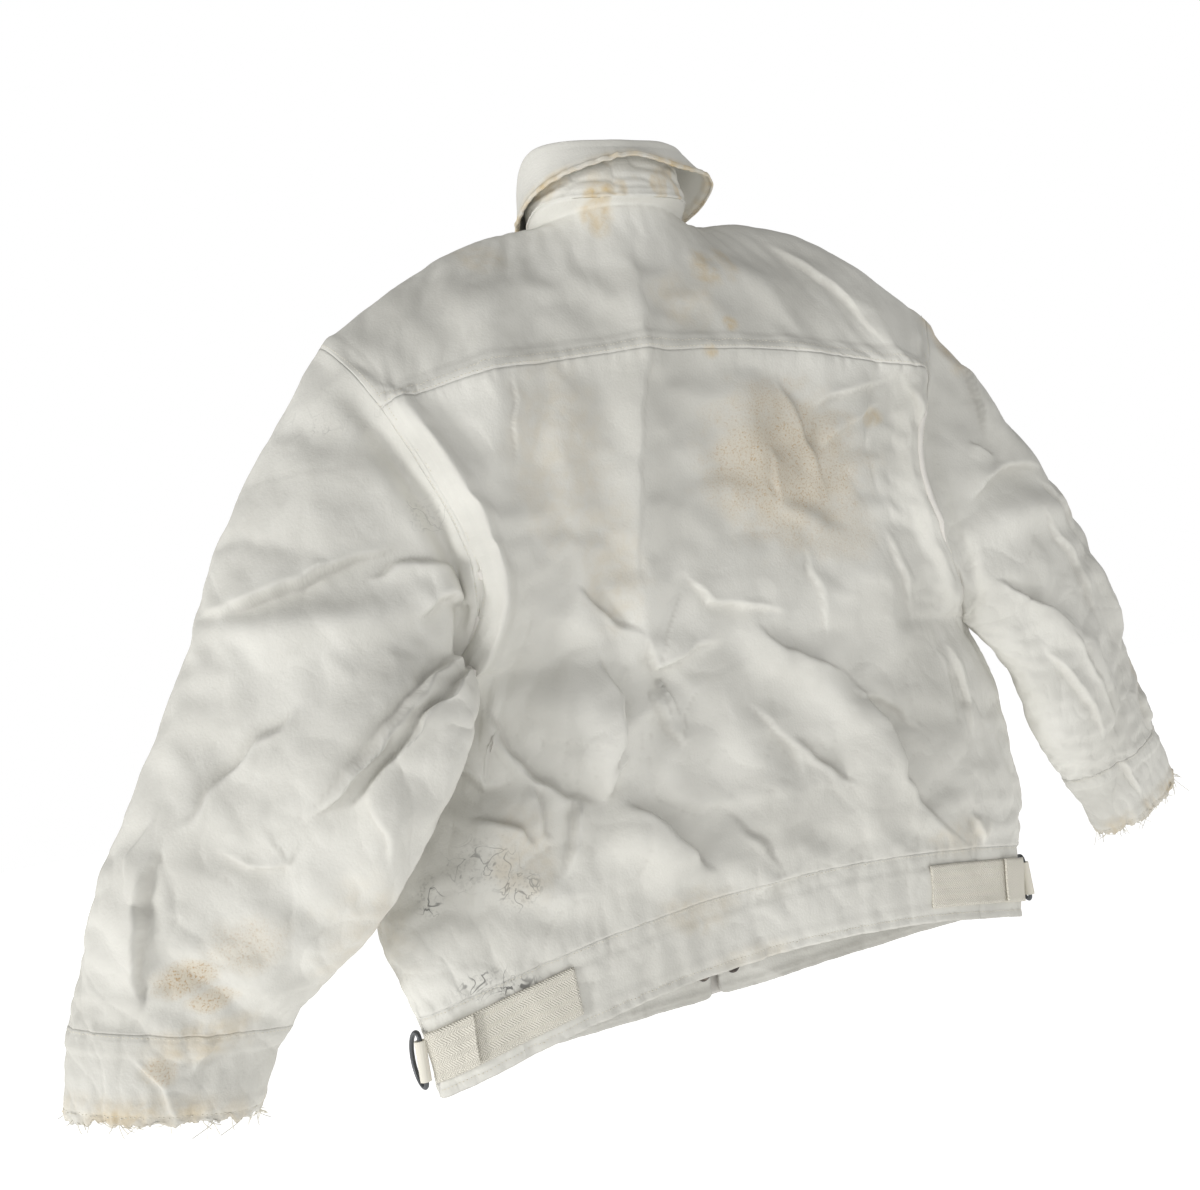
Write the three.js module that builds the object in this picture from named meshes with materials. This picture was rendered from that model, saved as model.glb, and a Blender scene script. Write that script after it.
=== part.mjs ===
// Padded canvas work jacket, as it hangs from a clothes hanger.
// Millimetres. +Z up, +X the wearer's left, +Y the back of the jacket.
// The origin is where the hanger's neck stands, level with the collar seam at the centre back.
import * as THREE from 'three';
import { mergeVertices } from 'three/addons/utils/BufferGeometryUtils.js';

// ---- driving dimensions ----
const BACK_LENGTH = 695;        // collar seam to hem, down the centre back
const FRONT_DROP = 55;          // how much lower the hem hangs at the centre front
const HALF_CHEST = 320;         // half the width of the body, laid flat
const BACK_DEPTH = 62;          // centre plane to the back
const FRONT_DEPTH = 75;         // centre plane to the front
const WAISTBAND_HEIGHT = 62;
const YOKE_DEPTH = 148;         // collar seam to yoke seam, down the centre back
const SLEEVE_LENGTH = 500;      // armhole centre to cuff hem
const CUFF_HALF_WIDTH = 71;
const CUFF_HALF_THICKNESS = 34;
const NECK_HALF_WIDTH = 80;
const NECK_FRONT_DROP = 62;     // the neck seam dips this far at the front
const STAND_HEIGHT = 46;
const FALL_HEIGHT = 34;         // the collar's turned-down leaf, at the centre back
const SHELL_THICKNESS = 3;      // canvas with its wadding
const LINING_THICKNESS = 2.5;
const SEAM_GAP = 0.3;           // clearance where two sewn pieces meet
const ARMHOLE_GAP = 0.9;        // between the body's armhole edge and the sleeve head
const WEBBING_WIDTH = 38;
const WEBBING_THICKNESS = 2.2;
const WEBBING_START = 4 / 12;   // where the adjuster webbing starts, round the half waistband
const RING_WIRE = 2.2;          // radius of the D-ring's wire
const RING_DEPTH = 20;          // how far the D-ring's bow stands off its bar
const FLAP_HALF_WIDTH = 28;     // storm flap over the zip
const FLAP_CLEARANCE = 5;       // room for the snaps between the flap and the fronts
const ZIP_HALF_GAP = 5;         // half the gap between the two fronts
const TAPE_WIDTH = 14;
const SNAP_RADIUS = 7.5;
const SNAP_COUNT = 5;

const DEG = Math.PI / 180;
const V = (x, y, z) => new THREE.Vector3(x, y, z);
const lerp = (a, b, t) => a + (b - a) * t;
const clamp = THREE.MathUtils.clamp;

const COLOURS = {
  canvas: [0xd9d7cf, 0.92, 0],
  lining: [0xe4e2da, 0.95, 0],
  webbing: [0xd8d2bf, 0.85, 0],
  metal: [0x3c3b3a, 0.42, 0.9],
  tape: [0xcfccc2, 0.9, 0],
};

const jacket = new THREE.Group();

function addMesh(name, geometry, look) {
  const [color, roughness, metalness] = COLOURS[look];
  const mesh = new THREE.Mesh(geometry, new THREE.MeshStandardMaterial({ color, roughness, metalness }));
  mesh.name = name;
  jacket.add(mesh);
  return mesh;
}

// ---- a closed solid from a curved surface ----
// surface(u, v) gives a point, u and v run over the given ranges, and outward(point, u, v) is the way out
// there. The solid lies between two offsets along it, so pieces that share an edge and that direction meet
// without overlap.
function sheetSolid(surface, outward, options) {
  const { nu, nv, u = [0, 1], v = [0, 1], thickness = SHELL_THICKNESS, inset = 0 } = options;
  const columns = nu + 1;
  const points = [];
  for (const depth of [inset, inset + thickness]) {
    for (let j = 0; j <= nv; j++) {
      for (let i = 0; i < columns; i++) {
        const [s, t] = [lerp(u[0], u[1], i / nu), lerp(v[0], v[1], j / nv)];
        const p = surface(s, t);
        points.push(p.clone().addScaledVector(outward(p, s, t), -depth));
      }
    }
  }
  const layer = columns * (nv + 1);
  const at = (i, j, k) => k * layer + j * columns + i;
  const index = [];
  const quad = (a, b, c, d) => index.push(a, b, c, a, c, d);
  for (let j = 0; j < nv; j++) {
    for (let i = 0; i < nu; i++) {
      quad(at(i, j, 0), at(i + 1, j, 0), at(i + 1, j + 1, 0), at(i, j + 1, 0));
      quad(at(i, j, 1), at(i, j + 1, 1), at(i + 1, j + 1, 1), at(i + 1, j, 1));
    }
  }
  for (let i = 0; i < nu; i++) {
    quad(at(i, 0, 0), at(i, 0, 1), at(i + 1, 0, 1), at(i + 1, 0, 0));
    quad(at(i, nv, 0), at(i + 1, nv, 0), at(i + 1, nv, 1), at(i, nv, 1));
  }
  for (let j = 0; j < nv; j++) {
    quad(at(0, j, 0), at(0, j + 1, 0), at(0, j + 1, 1), at(0, j, 1));
    quad(at(nu, j, 0), at(nu, j, 1), at(nu, j + 1, 1), at(nu, j + 1, 0));
  }
  return closedGeometry(points, index);
}

// The direction square to a surface, turned away from the point that middle(u, v) gives.
const squareTo = (surface, middle) => (p, u, v) => {
  const step = 1e-3;
  const along = surface(u + step, v).sub(surface(u - step, v));
  const down = surface(u, Math.min(v + step, 1)).sub(surface(u, Math.max(v - step, 0)));
  const normal = along.cross(down).normalize();
  return normal.dot(p.clone().sub(middle(u, v))) < 0 ? normal.negate() : normal;
};

// Turns the faces outward by the sign of the enclosed volume.
function closedGeometry(points, index) {
  let volume = 0;
  for (let k = 0; k < index.length; k += 3) {
    const [a, b, c] = [points[index[k]], points[index[k + 1]], points[index[k + 2]]];
    volume += a.dot(b.clone().cross(c));
  }
  const ordered = volume < 0 ? index.toReversed() : index;
  const geometry = new THREE.BufferGeometry().setFromPoints(points);
  geometry.setIndex(ordered);
  return geometry;
}

const tidy = (geometry) => {
  geometry.deleteAttribute('normal');
  geometry.deleteAttribute('uv');
  return mergeVertices(geometry, 1e-3);
};

// ---- the jacket's edges ----
// Points are shares: [of HALF_CHEST out, of the depth back, of BACK_LENGTH down].
const place = (side) => ([x, y, z]) =>
  V(side * x * HALF_CHEST, y * (y < 0 ? FRONT_DEPTH : BACK_DEPTH), -z * BACK_LENGTH);

// Each side hangs a little differently, because the sleeves swing free of the hanger by different amounts.
// armhole: a closed loop from the shoulder tip down the back, round the armpit and up the front.
const ARMHOLE_POINTS = 13;
const YOKE_END = 2;
const ARMPIT = 7;
const FRONT_SEAM_END = 12;
// ridge: how far the shoulder stands above the straight line from neck to sleeve.
// sleeve: the sections below the armhole. out and down are shares of SLEEVE_LENGTH from the armhole's centre,
// slope is the angle of the flat section below level, twist brings its inner edge to the back, and lean lifts
// that edge off the body. The last section is the cuff's hem, as wide and thick as the cuff.
const cuff = { width: CUFF_HALF_WIDTH, thick: CUFF_HALF_THICKNESS };
const sides = {
  left: {
    sign: 1,
    ridge: 20,
    armhole: [
      [0.925, 0.1, 0.158], [0.885, 0.7, 0.198], [0.815, 0.93, 0.256], [0.74, 1.0, 0.338], [0.672, 1.0, 0.424],
      [0.648, 0.88, 0.497], [0.69, 0.4, 0.56], [0.76, -0.3, 0.58], [0.7, -0.72, 0.55], [0.655, -0.9, 0.475],
      [0.7, -0.88, 0.374], [0.79, -0.76, 0.28], [0.88, -0.42, 0.2],
    ],
    sideSeam: [[0.88, -0.42, 0.7], [0.97, -0.36, 0.8], [1.0, -0.1, 0.88], [0.95, 0.12, 0.966]],
    hemSide: [0.925, 0.12, 1.06],
    sleeve: [
      { out: 0.128, y: 14, down: 0.127, width: 114, thick: 50, slope: 43, twist: 8, lean: 8 },
      { out: 0.203, y: 38, down: 0.29, width: 112, thick: 36, slope: 26, twist: 14, lean: 22 },
      { out: 0.36, y: 14, down: 0.565, width: 106, thick: 36, slope: 17, twist: 16, lean: 20 },
      { out: 0.475, y: -15, down: 0.742, width: 82, thick: 36, slope: 13, twist: 10, lean: 0 },
      { out: 0.52, y: -23, down: 0.865, ...cuff, slope: 13, twist: 9, lean: 0 },
    ],
  },
  right: {
    sign: -1,
    ridge: 38,
    armhole: [
      [1.01, 0.42, 0.17], [0.945, 0.85, 0.21], [0.885, 1.03, 0.27], [0.81, 1.1, 0.345], [0.79, 1.1, 0.41],
      [0.83, 1.02, 0.49], [0.9, 0.7, 0.58], [0.955, 0.1, 0.62], [0.9, -0.55, 0.58], [0.82, -0.86, 0.48],
      [0.81, -0.84, 0.375], [0.87, -0.7, 0.285], [0.935, -0.28, 0.215],
    ],
    sideSeam: [[1.04, 0.05, 0.72], [1.06, 0.05, 0.81], [1.055, 0.08, 0.9], [1.0, 0.15, 0.96]],
    hemSide: [0.97, 0.12, 1.06],
    sleeve: [
      { out: 0.208, y: 6, down: 0.176, width: 120, thick: 52, slope: 42, twist: 14, lean: 0 },
      { out: 0.312, y: 6, down: 0.366, width: 112, thick: 42, slope: 22, twist: 20, lean: 0 },
      { out: 0.378, y: -10, down: 0.55, width: 106, thick: 40, slope: 18, twist: 20, lean: 0 },
      { out: 0.456, y: -30, down: 0.674, width: 80, thick: 36, slope: 14, twist: 12, lean: 0 },
      { out: 0.53, y: -45, down: 0.802, ...cuff, slope: 20, twist: 12, lean: 0 },
    ],
  },
};

const through = (points) => new THREE.CatmullRomCurve3(points, false, 'centripetal');
for (const side of Object.values(sides)) {
  const at = place(side.sign);
  const armhole = side.armhole.map(at);
  side.shoulder = armhole.slice(0, YOKE_END);
  side.backArmhole = through(armhole.slice(YOKE_END, ARMPIT + 1));
  side.frontArmhole = through(armhole.slice(ARMPIT).toReversed());
  side.sideSeam = through([armhole[ARMPIT], ...side.sideSeam.map(at)]);
  side.hemPoint = at(side.hemSide);
}

// The edge of the back or of a front: down the armhole to the armpit, and then down the side seam.
const ARMHOLE_SHARE = 5 / 9;
function edgePoint(side, armhole, v) {
  if (v <= ARMHOLE_SHARE) return armhole.getPoint(Math.max(v, 0) / ARMHOLE_SHARE);
  return side.sideSeam.getPoint((v - ARMHOLE_SHARE) / (1 - ARMHOLE_SHARE));
}
const backEdge = (side, v) => edgePoint(side, side.backArmhole, v);
const frontEdge = (side, v) => edgePoint(side, side.frontArmhole, v);

const WAIST_BACK = BACK_LENGTH - WAISTBAND_HEIGHT;
const WAIST_FRONT = BACK_LENGTH + FRONT_DROP - WAISTBAND_HEIGHT;
const WAIST_DEPTH_SHARE = 0.75;
const backLine = (v) => V(0, BACK_DEPTH * lerp(1.1, WAIST_DEPTH_SHARE, v), lerp(-YOKE_DEPTH, -WAIST_BACK, v));

// Neck seam: turn is 0 at the centre back and 180 degrees at the centre front.
const NECK_CENTRE_Y = -6;
const SHOULDER_RISE = 14;
const SHOULDER_SEAM_TURN = 122 * DEG;   // where the front shoulder seam meets the neck
function neckPoint(turn, grow = 0, lift = 0) {
  const radius = Math.cos(turn) > 0 ? BACK_DEPTH - NECK_CENTRE_Y : FRONT_DEPTH + NECK_CENTRE_Y;
  const dip = NECK_FRONT_DROP * ((1 - Math.cos(turn)) / 2) ** 3;
  return V(
    (NECK_HALF_WIDTH + grow) * Math.sin(turn),
    NECK_CENTRE_Y + (radius + grow) * Math.cos(turn),
    SHOULDER_RISE * Math.sin(turn) ** 2 - dip + lift,
  );
}

// ---- surfaces of the body ----
// A row runs from an inner point to an edge point along a quarter of a superellipse, so that it is flat in
// the middle of the body and turns over the side.
const ROW_POWER = 2 / 2.6;
function rowPoint(inner, edge, share) {
  const across = Math.sin(share * 90 * DEG) ** ROW_POWER;
  const deep = Math.max(Math.cos(share * 90 * DEG), 0) ** ROW_POWER;
  const z = lerp(inner.z, edge.z, across ** 2);
  return V(lerp(inner.x, edge.x, across), lerp(edge.y, inner.y, deep), z);
}

const sideOf = (u) => (u >= 0.5 ? sides.left : sides.right);
const shareOf = (u) => Math.abs(2 * u - 1);
const backPoint = (u, v) => rowPoint(backLine(v), backEdge(sideOf(u), v), shareOf(u));

const NECK_SHARE = 0.25;   // share of the front's height that lies along the neck seam
function frontLine(side, v) {
  const fall = (v - NECK_SHARE) / (1 - NECK_SHARE);
  if (fall >= 0) {
    return V(side.sign * ZIP_HALF_GAP, -FRONT_DEPTH, lerp(-NECK_FRONT_DROP, -WAIST_FRONT, fall));
  }
  const last = Math.PI - Math.asin(ZIP_HALF_GAP / NECK_HALF_WIDTH);
  const p = neckPoint(lerp(SHOULDER_SEAM_TURN, last, v / NECK_SHARE));
  return V(side.sign * p.x, p.y, p.z);
}
const frontPoint = (side) => (u, v) => rowPoint(frontLine(side, v), frontEdge(side, v), u);

// The yoke runs from its seam on the back up over the shoulder to the front shoulder seam. Between the
// shoulders it ends at the neck seam.
const NECK_TO_SHOULDER = 0.5;
const RIDGE_CLEARANCE = 9;  // the shoulder's ridge starts this far outside the neck seam
function yokePath(side, share) {
  const start = rowPoint(backLine(0), backEdge(side, 0), share);
  const onNeck = clamp(share / NECK_TO_SHOULDER, 0, 1);
  const onShoulder = clamp((share - NECK_TO_SHOULDER) / (1 - NECK_TO_SHOULDER), 0, 1);
  const neck = neckPoint(SHOULDER_SEAM_TURN * onNeck);
  neck.x *= side.sign;
  const end = onShoulder > 0 ? frontPoint(side)(onShoulder, 0) : neck;
  const tip = side.shoulder;
  const neckSide = neckPoint(90 * DEG, RIDGE_CLEARANCE, -RIDGE_CLEARANCE / 3);
  neckSide.x *= side.sign;
  const ridge = neckSide.lerp(tip[0], onShoulder);
  ridge.z += side.ridge * Math.sin(Math.PI * onShoulder);
  const below = start.clone().lerp(ridge, 0.55);
  below.y = lerp(start.y, ridge.y, 0.3);
  below.lerp(tip[1], onShoulder ** 2);
  const flatBelow = start.clone().lerp(end, 0.4);
  const flatRidge = start.clone().lerp(end, 0.8);
  return [start, flatBelow.lerp(below, onNeck ** 2), flatRidge.lerp(ridge, onNeck ** 2), end];
}
const yokeHalf = (side, share, v) => through(yokePath(side, share)).getPoint(v);
const yokePoint = (u, v) => yokeHalf(sideOf(u), shareOf(u), v);

// The armhole's edge, made of the edges of the three pieces round it. t counts the armhole's points.
const YOKE_SPAN = YOKE_END + ARMHOLE_POINTS - FRONT_SEAM_END;
function armholePoint(side, t) {
  const turn = ((t % ARMHOLE_POINTS) + ARMHOLE_POINTS) % ARMHOLE_POINTS;
  if (turn <= YOKE_END) return yokeHalf(side, 1, (YOKE_END - turn) / YOKE_SPAN);
  if (turn <= ARMPIT) return side.backArmhole.getPoint((turn - YOKE_END) / (ARMPIT - YOKE_END));
  if (turn <= FRONT_SEAM_END) {
    return side.frontArmhole.getPoint((FRONT_SEAM_END - turn) / (FRONT_SEAM_END - ARMPIT));
  }
  return yokeHalf(side, 1, (YOKE_END + ARMHOLE_POINTS - turn) / YOKE_SPAN);
}

// ---- surfaces of the waistband ----
const hemBack = V(0, BACK_DEPTH * 0.7, -BACK_LENGTH);
const hemFront = (side) => V(side.sign * ZIP_HALF_GAP, -FRONT_DEPTH, -BACK_LENGTH - FRONT_DROP);
const backBand = (u, v) => {
  const side = sideOf(u);
  const top = rowPoint(backLine(1), backEdge(side, 1), shareOf(u));
  return top.lerp(rowPoint(hemBack, side.hemPoint, shareOf(u)), v);
};
const frontBand = (side) => (u, v) => {
  const top = rowPoint(frontLine(side, 1), frontEdge(side, 1), u);
  return top.lerp(rowPoint(hemFront(side), side.hemPoint, u), v);
};

// The way out of the body, away from a flat core inside it. It depends only on the place, so that the edges
// of neighbouring pieces lie side by side.
const CORE_WIDTH = 0.8;
const CORE_TOP = -60;
const CORE_SLOPE = 0.42;
const fromCore = (p) => {
  const core = V(p.x * CORE_WIDTH, 0, Math.min(p.z, CORE_TOP - CORE_SLOPE * Math.abs(p.x)));
  return p.clone().sub(core).normalize();
};

// Small shares of u and v that leave about SEAM_GAP between two sewn pieces.
const EDGE_U = 0.0008;
const EDGE_V = (0.7 * SEAM_GAP) / BACK_LENGTH;
const BODY_ROWS = 18;
const BACK_COLUMNS = 24;
const FRONT_COLUMNS = 6;
const BAND_ROWS = 2;
const YOKE_ROWS = 6;

// ---- shell of the body ----
const backU = [EDGE_U / 2, 1 - EDGE_U / 2];
const frontU = [0, 1 - EDGE_U];
const seamV = [EDGE_V, 1 - EDGE_V];
const bandV = [(0.7 * SEAM_GAP) / WAISTBAND_HEIGHT, 1];
addMesh('back_panel', sheetSolid(backPoint, fromCore, {
  nu: BACK_COLUMNS, nv: BODY_ROWS, u: backU, v: seamV,
}), 'canvas');
addMesh('back_yoke', sheetSolid(yokePoint, fromCore, {
  nu: BACK_COLUMNS, nv: YOKE_ROWS, v: [EDGE_V, 1 - EDGE_V * 2],
}), 'canvas');
addMesh('back_waistband', sheetSolid(backBand, fromCore, {
  nu: BACK_COLUMNS, nv: BAND_ROWS, u: backU, v: bandV,
}), 'canvas');
for (const [name, side] of Object.entries(sides)) {
  addMesh(`${name}_front_panel`, sheetSolid(frontPoint(side), fromCore, {
    nu: FRONT_COLUMNS, nv: BODY_ROWS, u: frontU, v: seamV,
  }), 'canvas');
  addMesh(`${name}_front_waistband`, sheetSolid(frontBand(side), fromCore, {
    nu: FRONT_COLUMNS, nv: BAND_ROWS, u: frontU, v: bandV,
  }), 'canvas');
}

// ---- quilted lining, just inside the shell ----
// It lies on the same rows and columns as the shell, one in from its edges, so that the two stay parallel.
const liningInset = SHELL_THICKNESS + SEAM_GAP;
const lining = { inset: liningInset, thickness: LINING_THICKNESS };
const inner = ([first, last], cells, from, to) =>
  [lerp(first, last, from / cells), lerp(first, last, to / cells)];
addMesh('back_lining', sheetSolid(backPoint, fromCore, {
  nu: BACK_COLUMNS - 4, nv: BODY_ROWS - 1, ...lining,
  u: inner(backU, BACK_COLUMNS, 2, BACK_COLUMNS - 2), v: inner(seamV, BODY_ROWS, 0, BODY_ROWS - 1),
}), 'lining');
for (const [name, side] of Object.entries(sides)) {
  addMesh(`${name}_front_lining`, sheetSolid(frontPoint(side), fromCore, {
    nu: FRONT_COLUMNS - 2, nv: BODY_ROWS - 2, ...lining,
    u: inner(frontU, FRONT_COLUMNS, 1, FRONT_COLUMNS - 1), v: inner(seamV, BODY_ROWS, 1, BODY_ROWS - 1),
  }), 'lining');
}

// ---- hand pockets, sewn on the outside of the fronts ----
const POCKET_TOP_ROW = 13;
for (const [name, side] of Object.entries(sides)) {
  addMesh(`${name}_pocket`, sheetSolid(frontPoint(side), fromCore, {
    nu: 2, nv: BODY_ROWS - 1 - POCKET_TOP_ROW, inset: -SHELL_THICKNESS - SEAM_GAP,
    u: inner(frontU, FRONT_COLUMNS, 2, 4), v: inner(seamV, BODY_ROWS, POCKET_TOP_ROW, BODY_ROWS - 1),
  }), 'canvas');
}

// ---- sleeves and cuffs ----
const FULL_TURN = 2 * Math.PI;
const SLEEVE_SHARE = 0.8;       // the cuff is the last fifth of the loft
const UNDER_SEAM = 5 / ARMHOLE_POINTS;   // turn of the seam between the top sleeve and the under sleeve
const COLUMNS_PER_TURN = 2 * ARMHOLE_POINTS;   // as many columns as the body has rows round the armhole
const CUFF_SLIT = 9 / ARMHOLE_POINTS;
for (const side of Object.values(sides)) {
  side.armholeCentre = V(0, 0, 0);
  for (let t = 0; t < ARMHOLE_POINTS; t++) {
    side.armholeCentre.addScaledVector(armholePoint(side, t), 1 / ARMHOLE_POINTS);
  }
  side.sections = side.sleeve.map(({ out, y, down, width, thick, slope, twist, lean }) => ({
    centre: side.armholeCentre.clone().setY(y)
      .add(V(side.sign * out * SLEEVE_LENGTH, 0, -down * SLEEVE_LENGTH)),
    across: V(
      side.sign * Math.cos(slope * DEG) * Math.cos(twist * DEG), -Math.sin(twist * DEG),
      Math.sin(slope * DEG) * Math.cos(twist * DEG),
    ).multiplyScalar(width),
    deep: V(side.sign * Math.sin(twist * DEG), Math.cos(twist * DEG), 0).multiplyScalar(thick),
    lean,
  }));
}

const sectionPoint = ({ centre, across, deep, lean }, turn) => {
  const inner = Math.max(-Math.cos(turn * FULL_TURN), 0);
  return centre.clone()
    .addScaledVector(across, Math.cos(turn * FULL_TURN))
    .addScaledVector(deep, Math.sin(turn * FULL_TURN))
    .add(V(0, lean * inner ** 2, 0));
};
const sleevePoint = (side) => (turn, v) => {
  const head = armholePoint(side, turn * ARMHOLE_POINTS);
  return through([head, ...side.sections.map((section) => sectionPoint(section, turn))]).getPoint(v);
};
const sleeveMiddle = (side) => (turn, v) =>
  through([side.armholeCentre, ...side.sections.map(({ centre }) => centre)]).getPoint(v);

// At the armhole the sleeve shares the body's way out, and turns square to its own cloth further down.
const HEAD_BLEND = 0.12;
const sleeveOut = (side) => (p, turn, v) => {
  const square = squareTo(sleevePoint(side), sleeveMiddle(side))(p, turn, Math.max(v, 2e-3));
  return square.lerp(fromCore(p), clamp(1 - v / HEAD_BLEND, 0, 1)).normalize();
};
const HEAD_V = ARMHOLE_GAP / (SLEEVE_LENGTH / 3);
const SEAM_TURN = 0.0006;
const SLEEVE_ROWS = 10;
const CUFF_ROWS = 3;
const CUFF_SLIT_TURN = 4 * SEAM_TURN;
for (const [name, side] of Object.entries(sides)) {
  const surface = sleevePoint(side);
  const out = sleeveOut(side);
  const v = [HEAD_V, SLEEVE_SHARE - EDGE_V];
  addMesh(`${name}_top_sleeve`, sheetSolid(surface, out, {
    nu: Math.round(2 * UNDER_SEAM * COLUMNS_PER_TURN), nv: SLEEVE_ROWS, v,
    u: [-UNDER_SEAM + SEAM_TURN, UNDER_SEAM - SEAM_TURN],
  }), 'canvas');
  addMesh(`${name}_under_sleeve`, sheetSolid(surface, out, {
    nu: Math.round((1 - 2 * UNDER_SEAM) * COLUMNS_PER_TURN), nv: SLEEVE_ROWS, v,
    u: [UNDER_SEAM + SEAM_TURN, 1 - UNDER_SEAM - SEAM_TURN],
  }), 'canvas');
  addMesh(`${name}_cuff`, sheetSolid(surface, out, {
    nu: COLUMNS_PER_TURN, nv: CUFF_ROWS, v: [SLEEVE_SHARE + EDGE_V * 2, 1],
    u: [CUFF_SLIT + CUFF_SLIT_TURN - 1, CUFF_SLIT - CUFF_SLIT_TURN],
  }), 'canvas');
}

// ---- collar ----
const COLLAR_CELLS = 8;         // cells on each side, as wide as the yoke's cells along the neck
const NECK_CELLS = NECK_TO_SHOULDER * BACK_COLUMNS / 2;
const COLLAR_END = (COLLAR_CELLS / NECK_CELLS) * SHOULDER_SEAM_TURN;
const STAND_LEAN = 6;           // the stand closes in towards the neck
const STAND_SEAT = 0.8;
const standPoint = (u, v) =>
  neckPoint(lerp(-COLLAR_END, COLLAR_END, u), -STAND_LEAN * v, STAND_SEAT + (STAND_HEIGHT - STAND_SEAT) * v);
const neckMiddle = (lift) => (u) => neckPoint(lerp(-COLLAR_END, COLLAR_END, u), -40, lift);
addMesh('collar_stand', sheetSolid(standPoint, squareTo(standPoint, neckMiddle(STAND_HEIGHT / 2)), {
  nu: 2 * COLLAR_CELLS, nv: 3,
}), 'canvas');

// The fall starts inside the stand's top edge, turns over it and comes down outside. x is how far out and z
// how far up from the top edge.
const FALL_FLARE = 17;
const FALL_THICKNESS = 2.6;
const fallLine = through([
  V(-2, 0, 3.4), V(0.5, 0, 7.5), V(5, 0, 8), V(8.5, 0, -2), V(12, 0, -FALL_HEIGHT / 2),
  V(FALL_FLARE, 0, -FALL_HEIGHT),
]);
const FALL_SPREAD = 0.35;       // the fall is this share deeper at the sides and front
const fallPoint = (u, v) => {
  const turn = lerp(-COLLAR_END, COLLAR_END, u);
  const { x: away, z: up } = fallLine.getPoint(v);
  const depth = up < 0 ? 1 + FALL_SPREAD * (1 - Math.cos(turn)) / 2 : 1;
  return neckPoint(turn, away - STAND_LEAN, STAND_HEIGHT + up * depth);
};
const foldMiddle = (u) => neckPoint(lerp(-COLLAR_END, COLLAR_END, u), 2 - STAND_LEAN, STAND_HEIGHT - 12);
addMesh('collar_fall', sheetSolid(fallPoint, squareTo(fallPoint, foldMiddle), {
  nu: 2 * COLLAR_CELLS, nv: 8, thickness: FALL_THICKNESS,
}), 'canvas');

// ---- hang loop inside the back of the neck ----
const LOOP_TURN = 24 * DEG;
const LOOP_SAG = 9;
const LOOP_BAND = 6;
const LOOP_SEAT = STAND_LEAN * 0.6 + SHELL_THICKNESS + 1.2;
const loopPoint = (u, v) => {
  const bow = Math.sin(Math.PI * u);
  const p = neckPoint(lerp(-LOOP_TURN, LOOP_TURN, u), -LOOP_SEAT - 4 * bow);
  return p.setZ(STAND_HEIGHT * 0.6 - LOOP_SAG * bow - LOOP_BAND * v);
};
addMesh('hang_loop', sheetSolid(loopPoint, () => V(0, 1, 0), { nu: 8, nv: 1, thickness: 1 }), 'webbing');

// ---- adjuster webbing on the waistband, and its D-rings ----
const bandShare = (side, share) => 0.5 + side.sign * share / 2;
const webbingEdge = (WAISTBAND_HEIGHT - WEBBING_WIDTH) / 2 / WAISTBAND_HEIGHT;
const WEBBING_END = 11 / 12;
for (const [name, side] of Object.entries(sides)) {
  const strip = (u, v) => {
    const share = bandShare(side, lerp(WEBBING_START, WEBBING_END, u));
    return backBand(share, lerp(webbingEdge, 1 - webbingEdge, v));
  };
  addMesh(`${name}_webbing`, sheetSolid(strip, fromCore, {
    nu: Math.round((WEBBING_END - WEBBING_START) * BACK_COLUMNS / 2), nv: 2,
    inset: -WEBBING_THICKNESS - SEAM_GAP, thickness: WEBBING_THICKNESS,
  }), 'webbing');
}

// A closed loop of round wire along points that lie in one plane.
function wireLoop(points, square, radius, sidesRound) {
  const count = points.length;
  const vertices = [];
  const index = [];
  points.forEach((p, i) => {
    const along = points[(i + 1) % count].clone().sub(points[(i + count - 1) % count]).normalize();
    const across = along.clone().cross(square);
    for (let k = 0; k < sidesRound; k++) {
      const angle = (k / sidesRound) * FULL_TURN;
      const offset = across.clone().multiplyScalar(radius * Math.cos(angle));
      vertices.push(p.clone().add(offset).addScaledVector(square, radius * Math.sin(angle)));
      const [a, b] = [i * sidesRound, ((i + 1) % count) * sidesRound];
      const next = (k + 1) % sidesRound;
      index.push(a + k, b + k, b + next, a + k, b + next, a + next);
    }
  });
  return closedGeometry(vertices, index);
}

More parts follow.
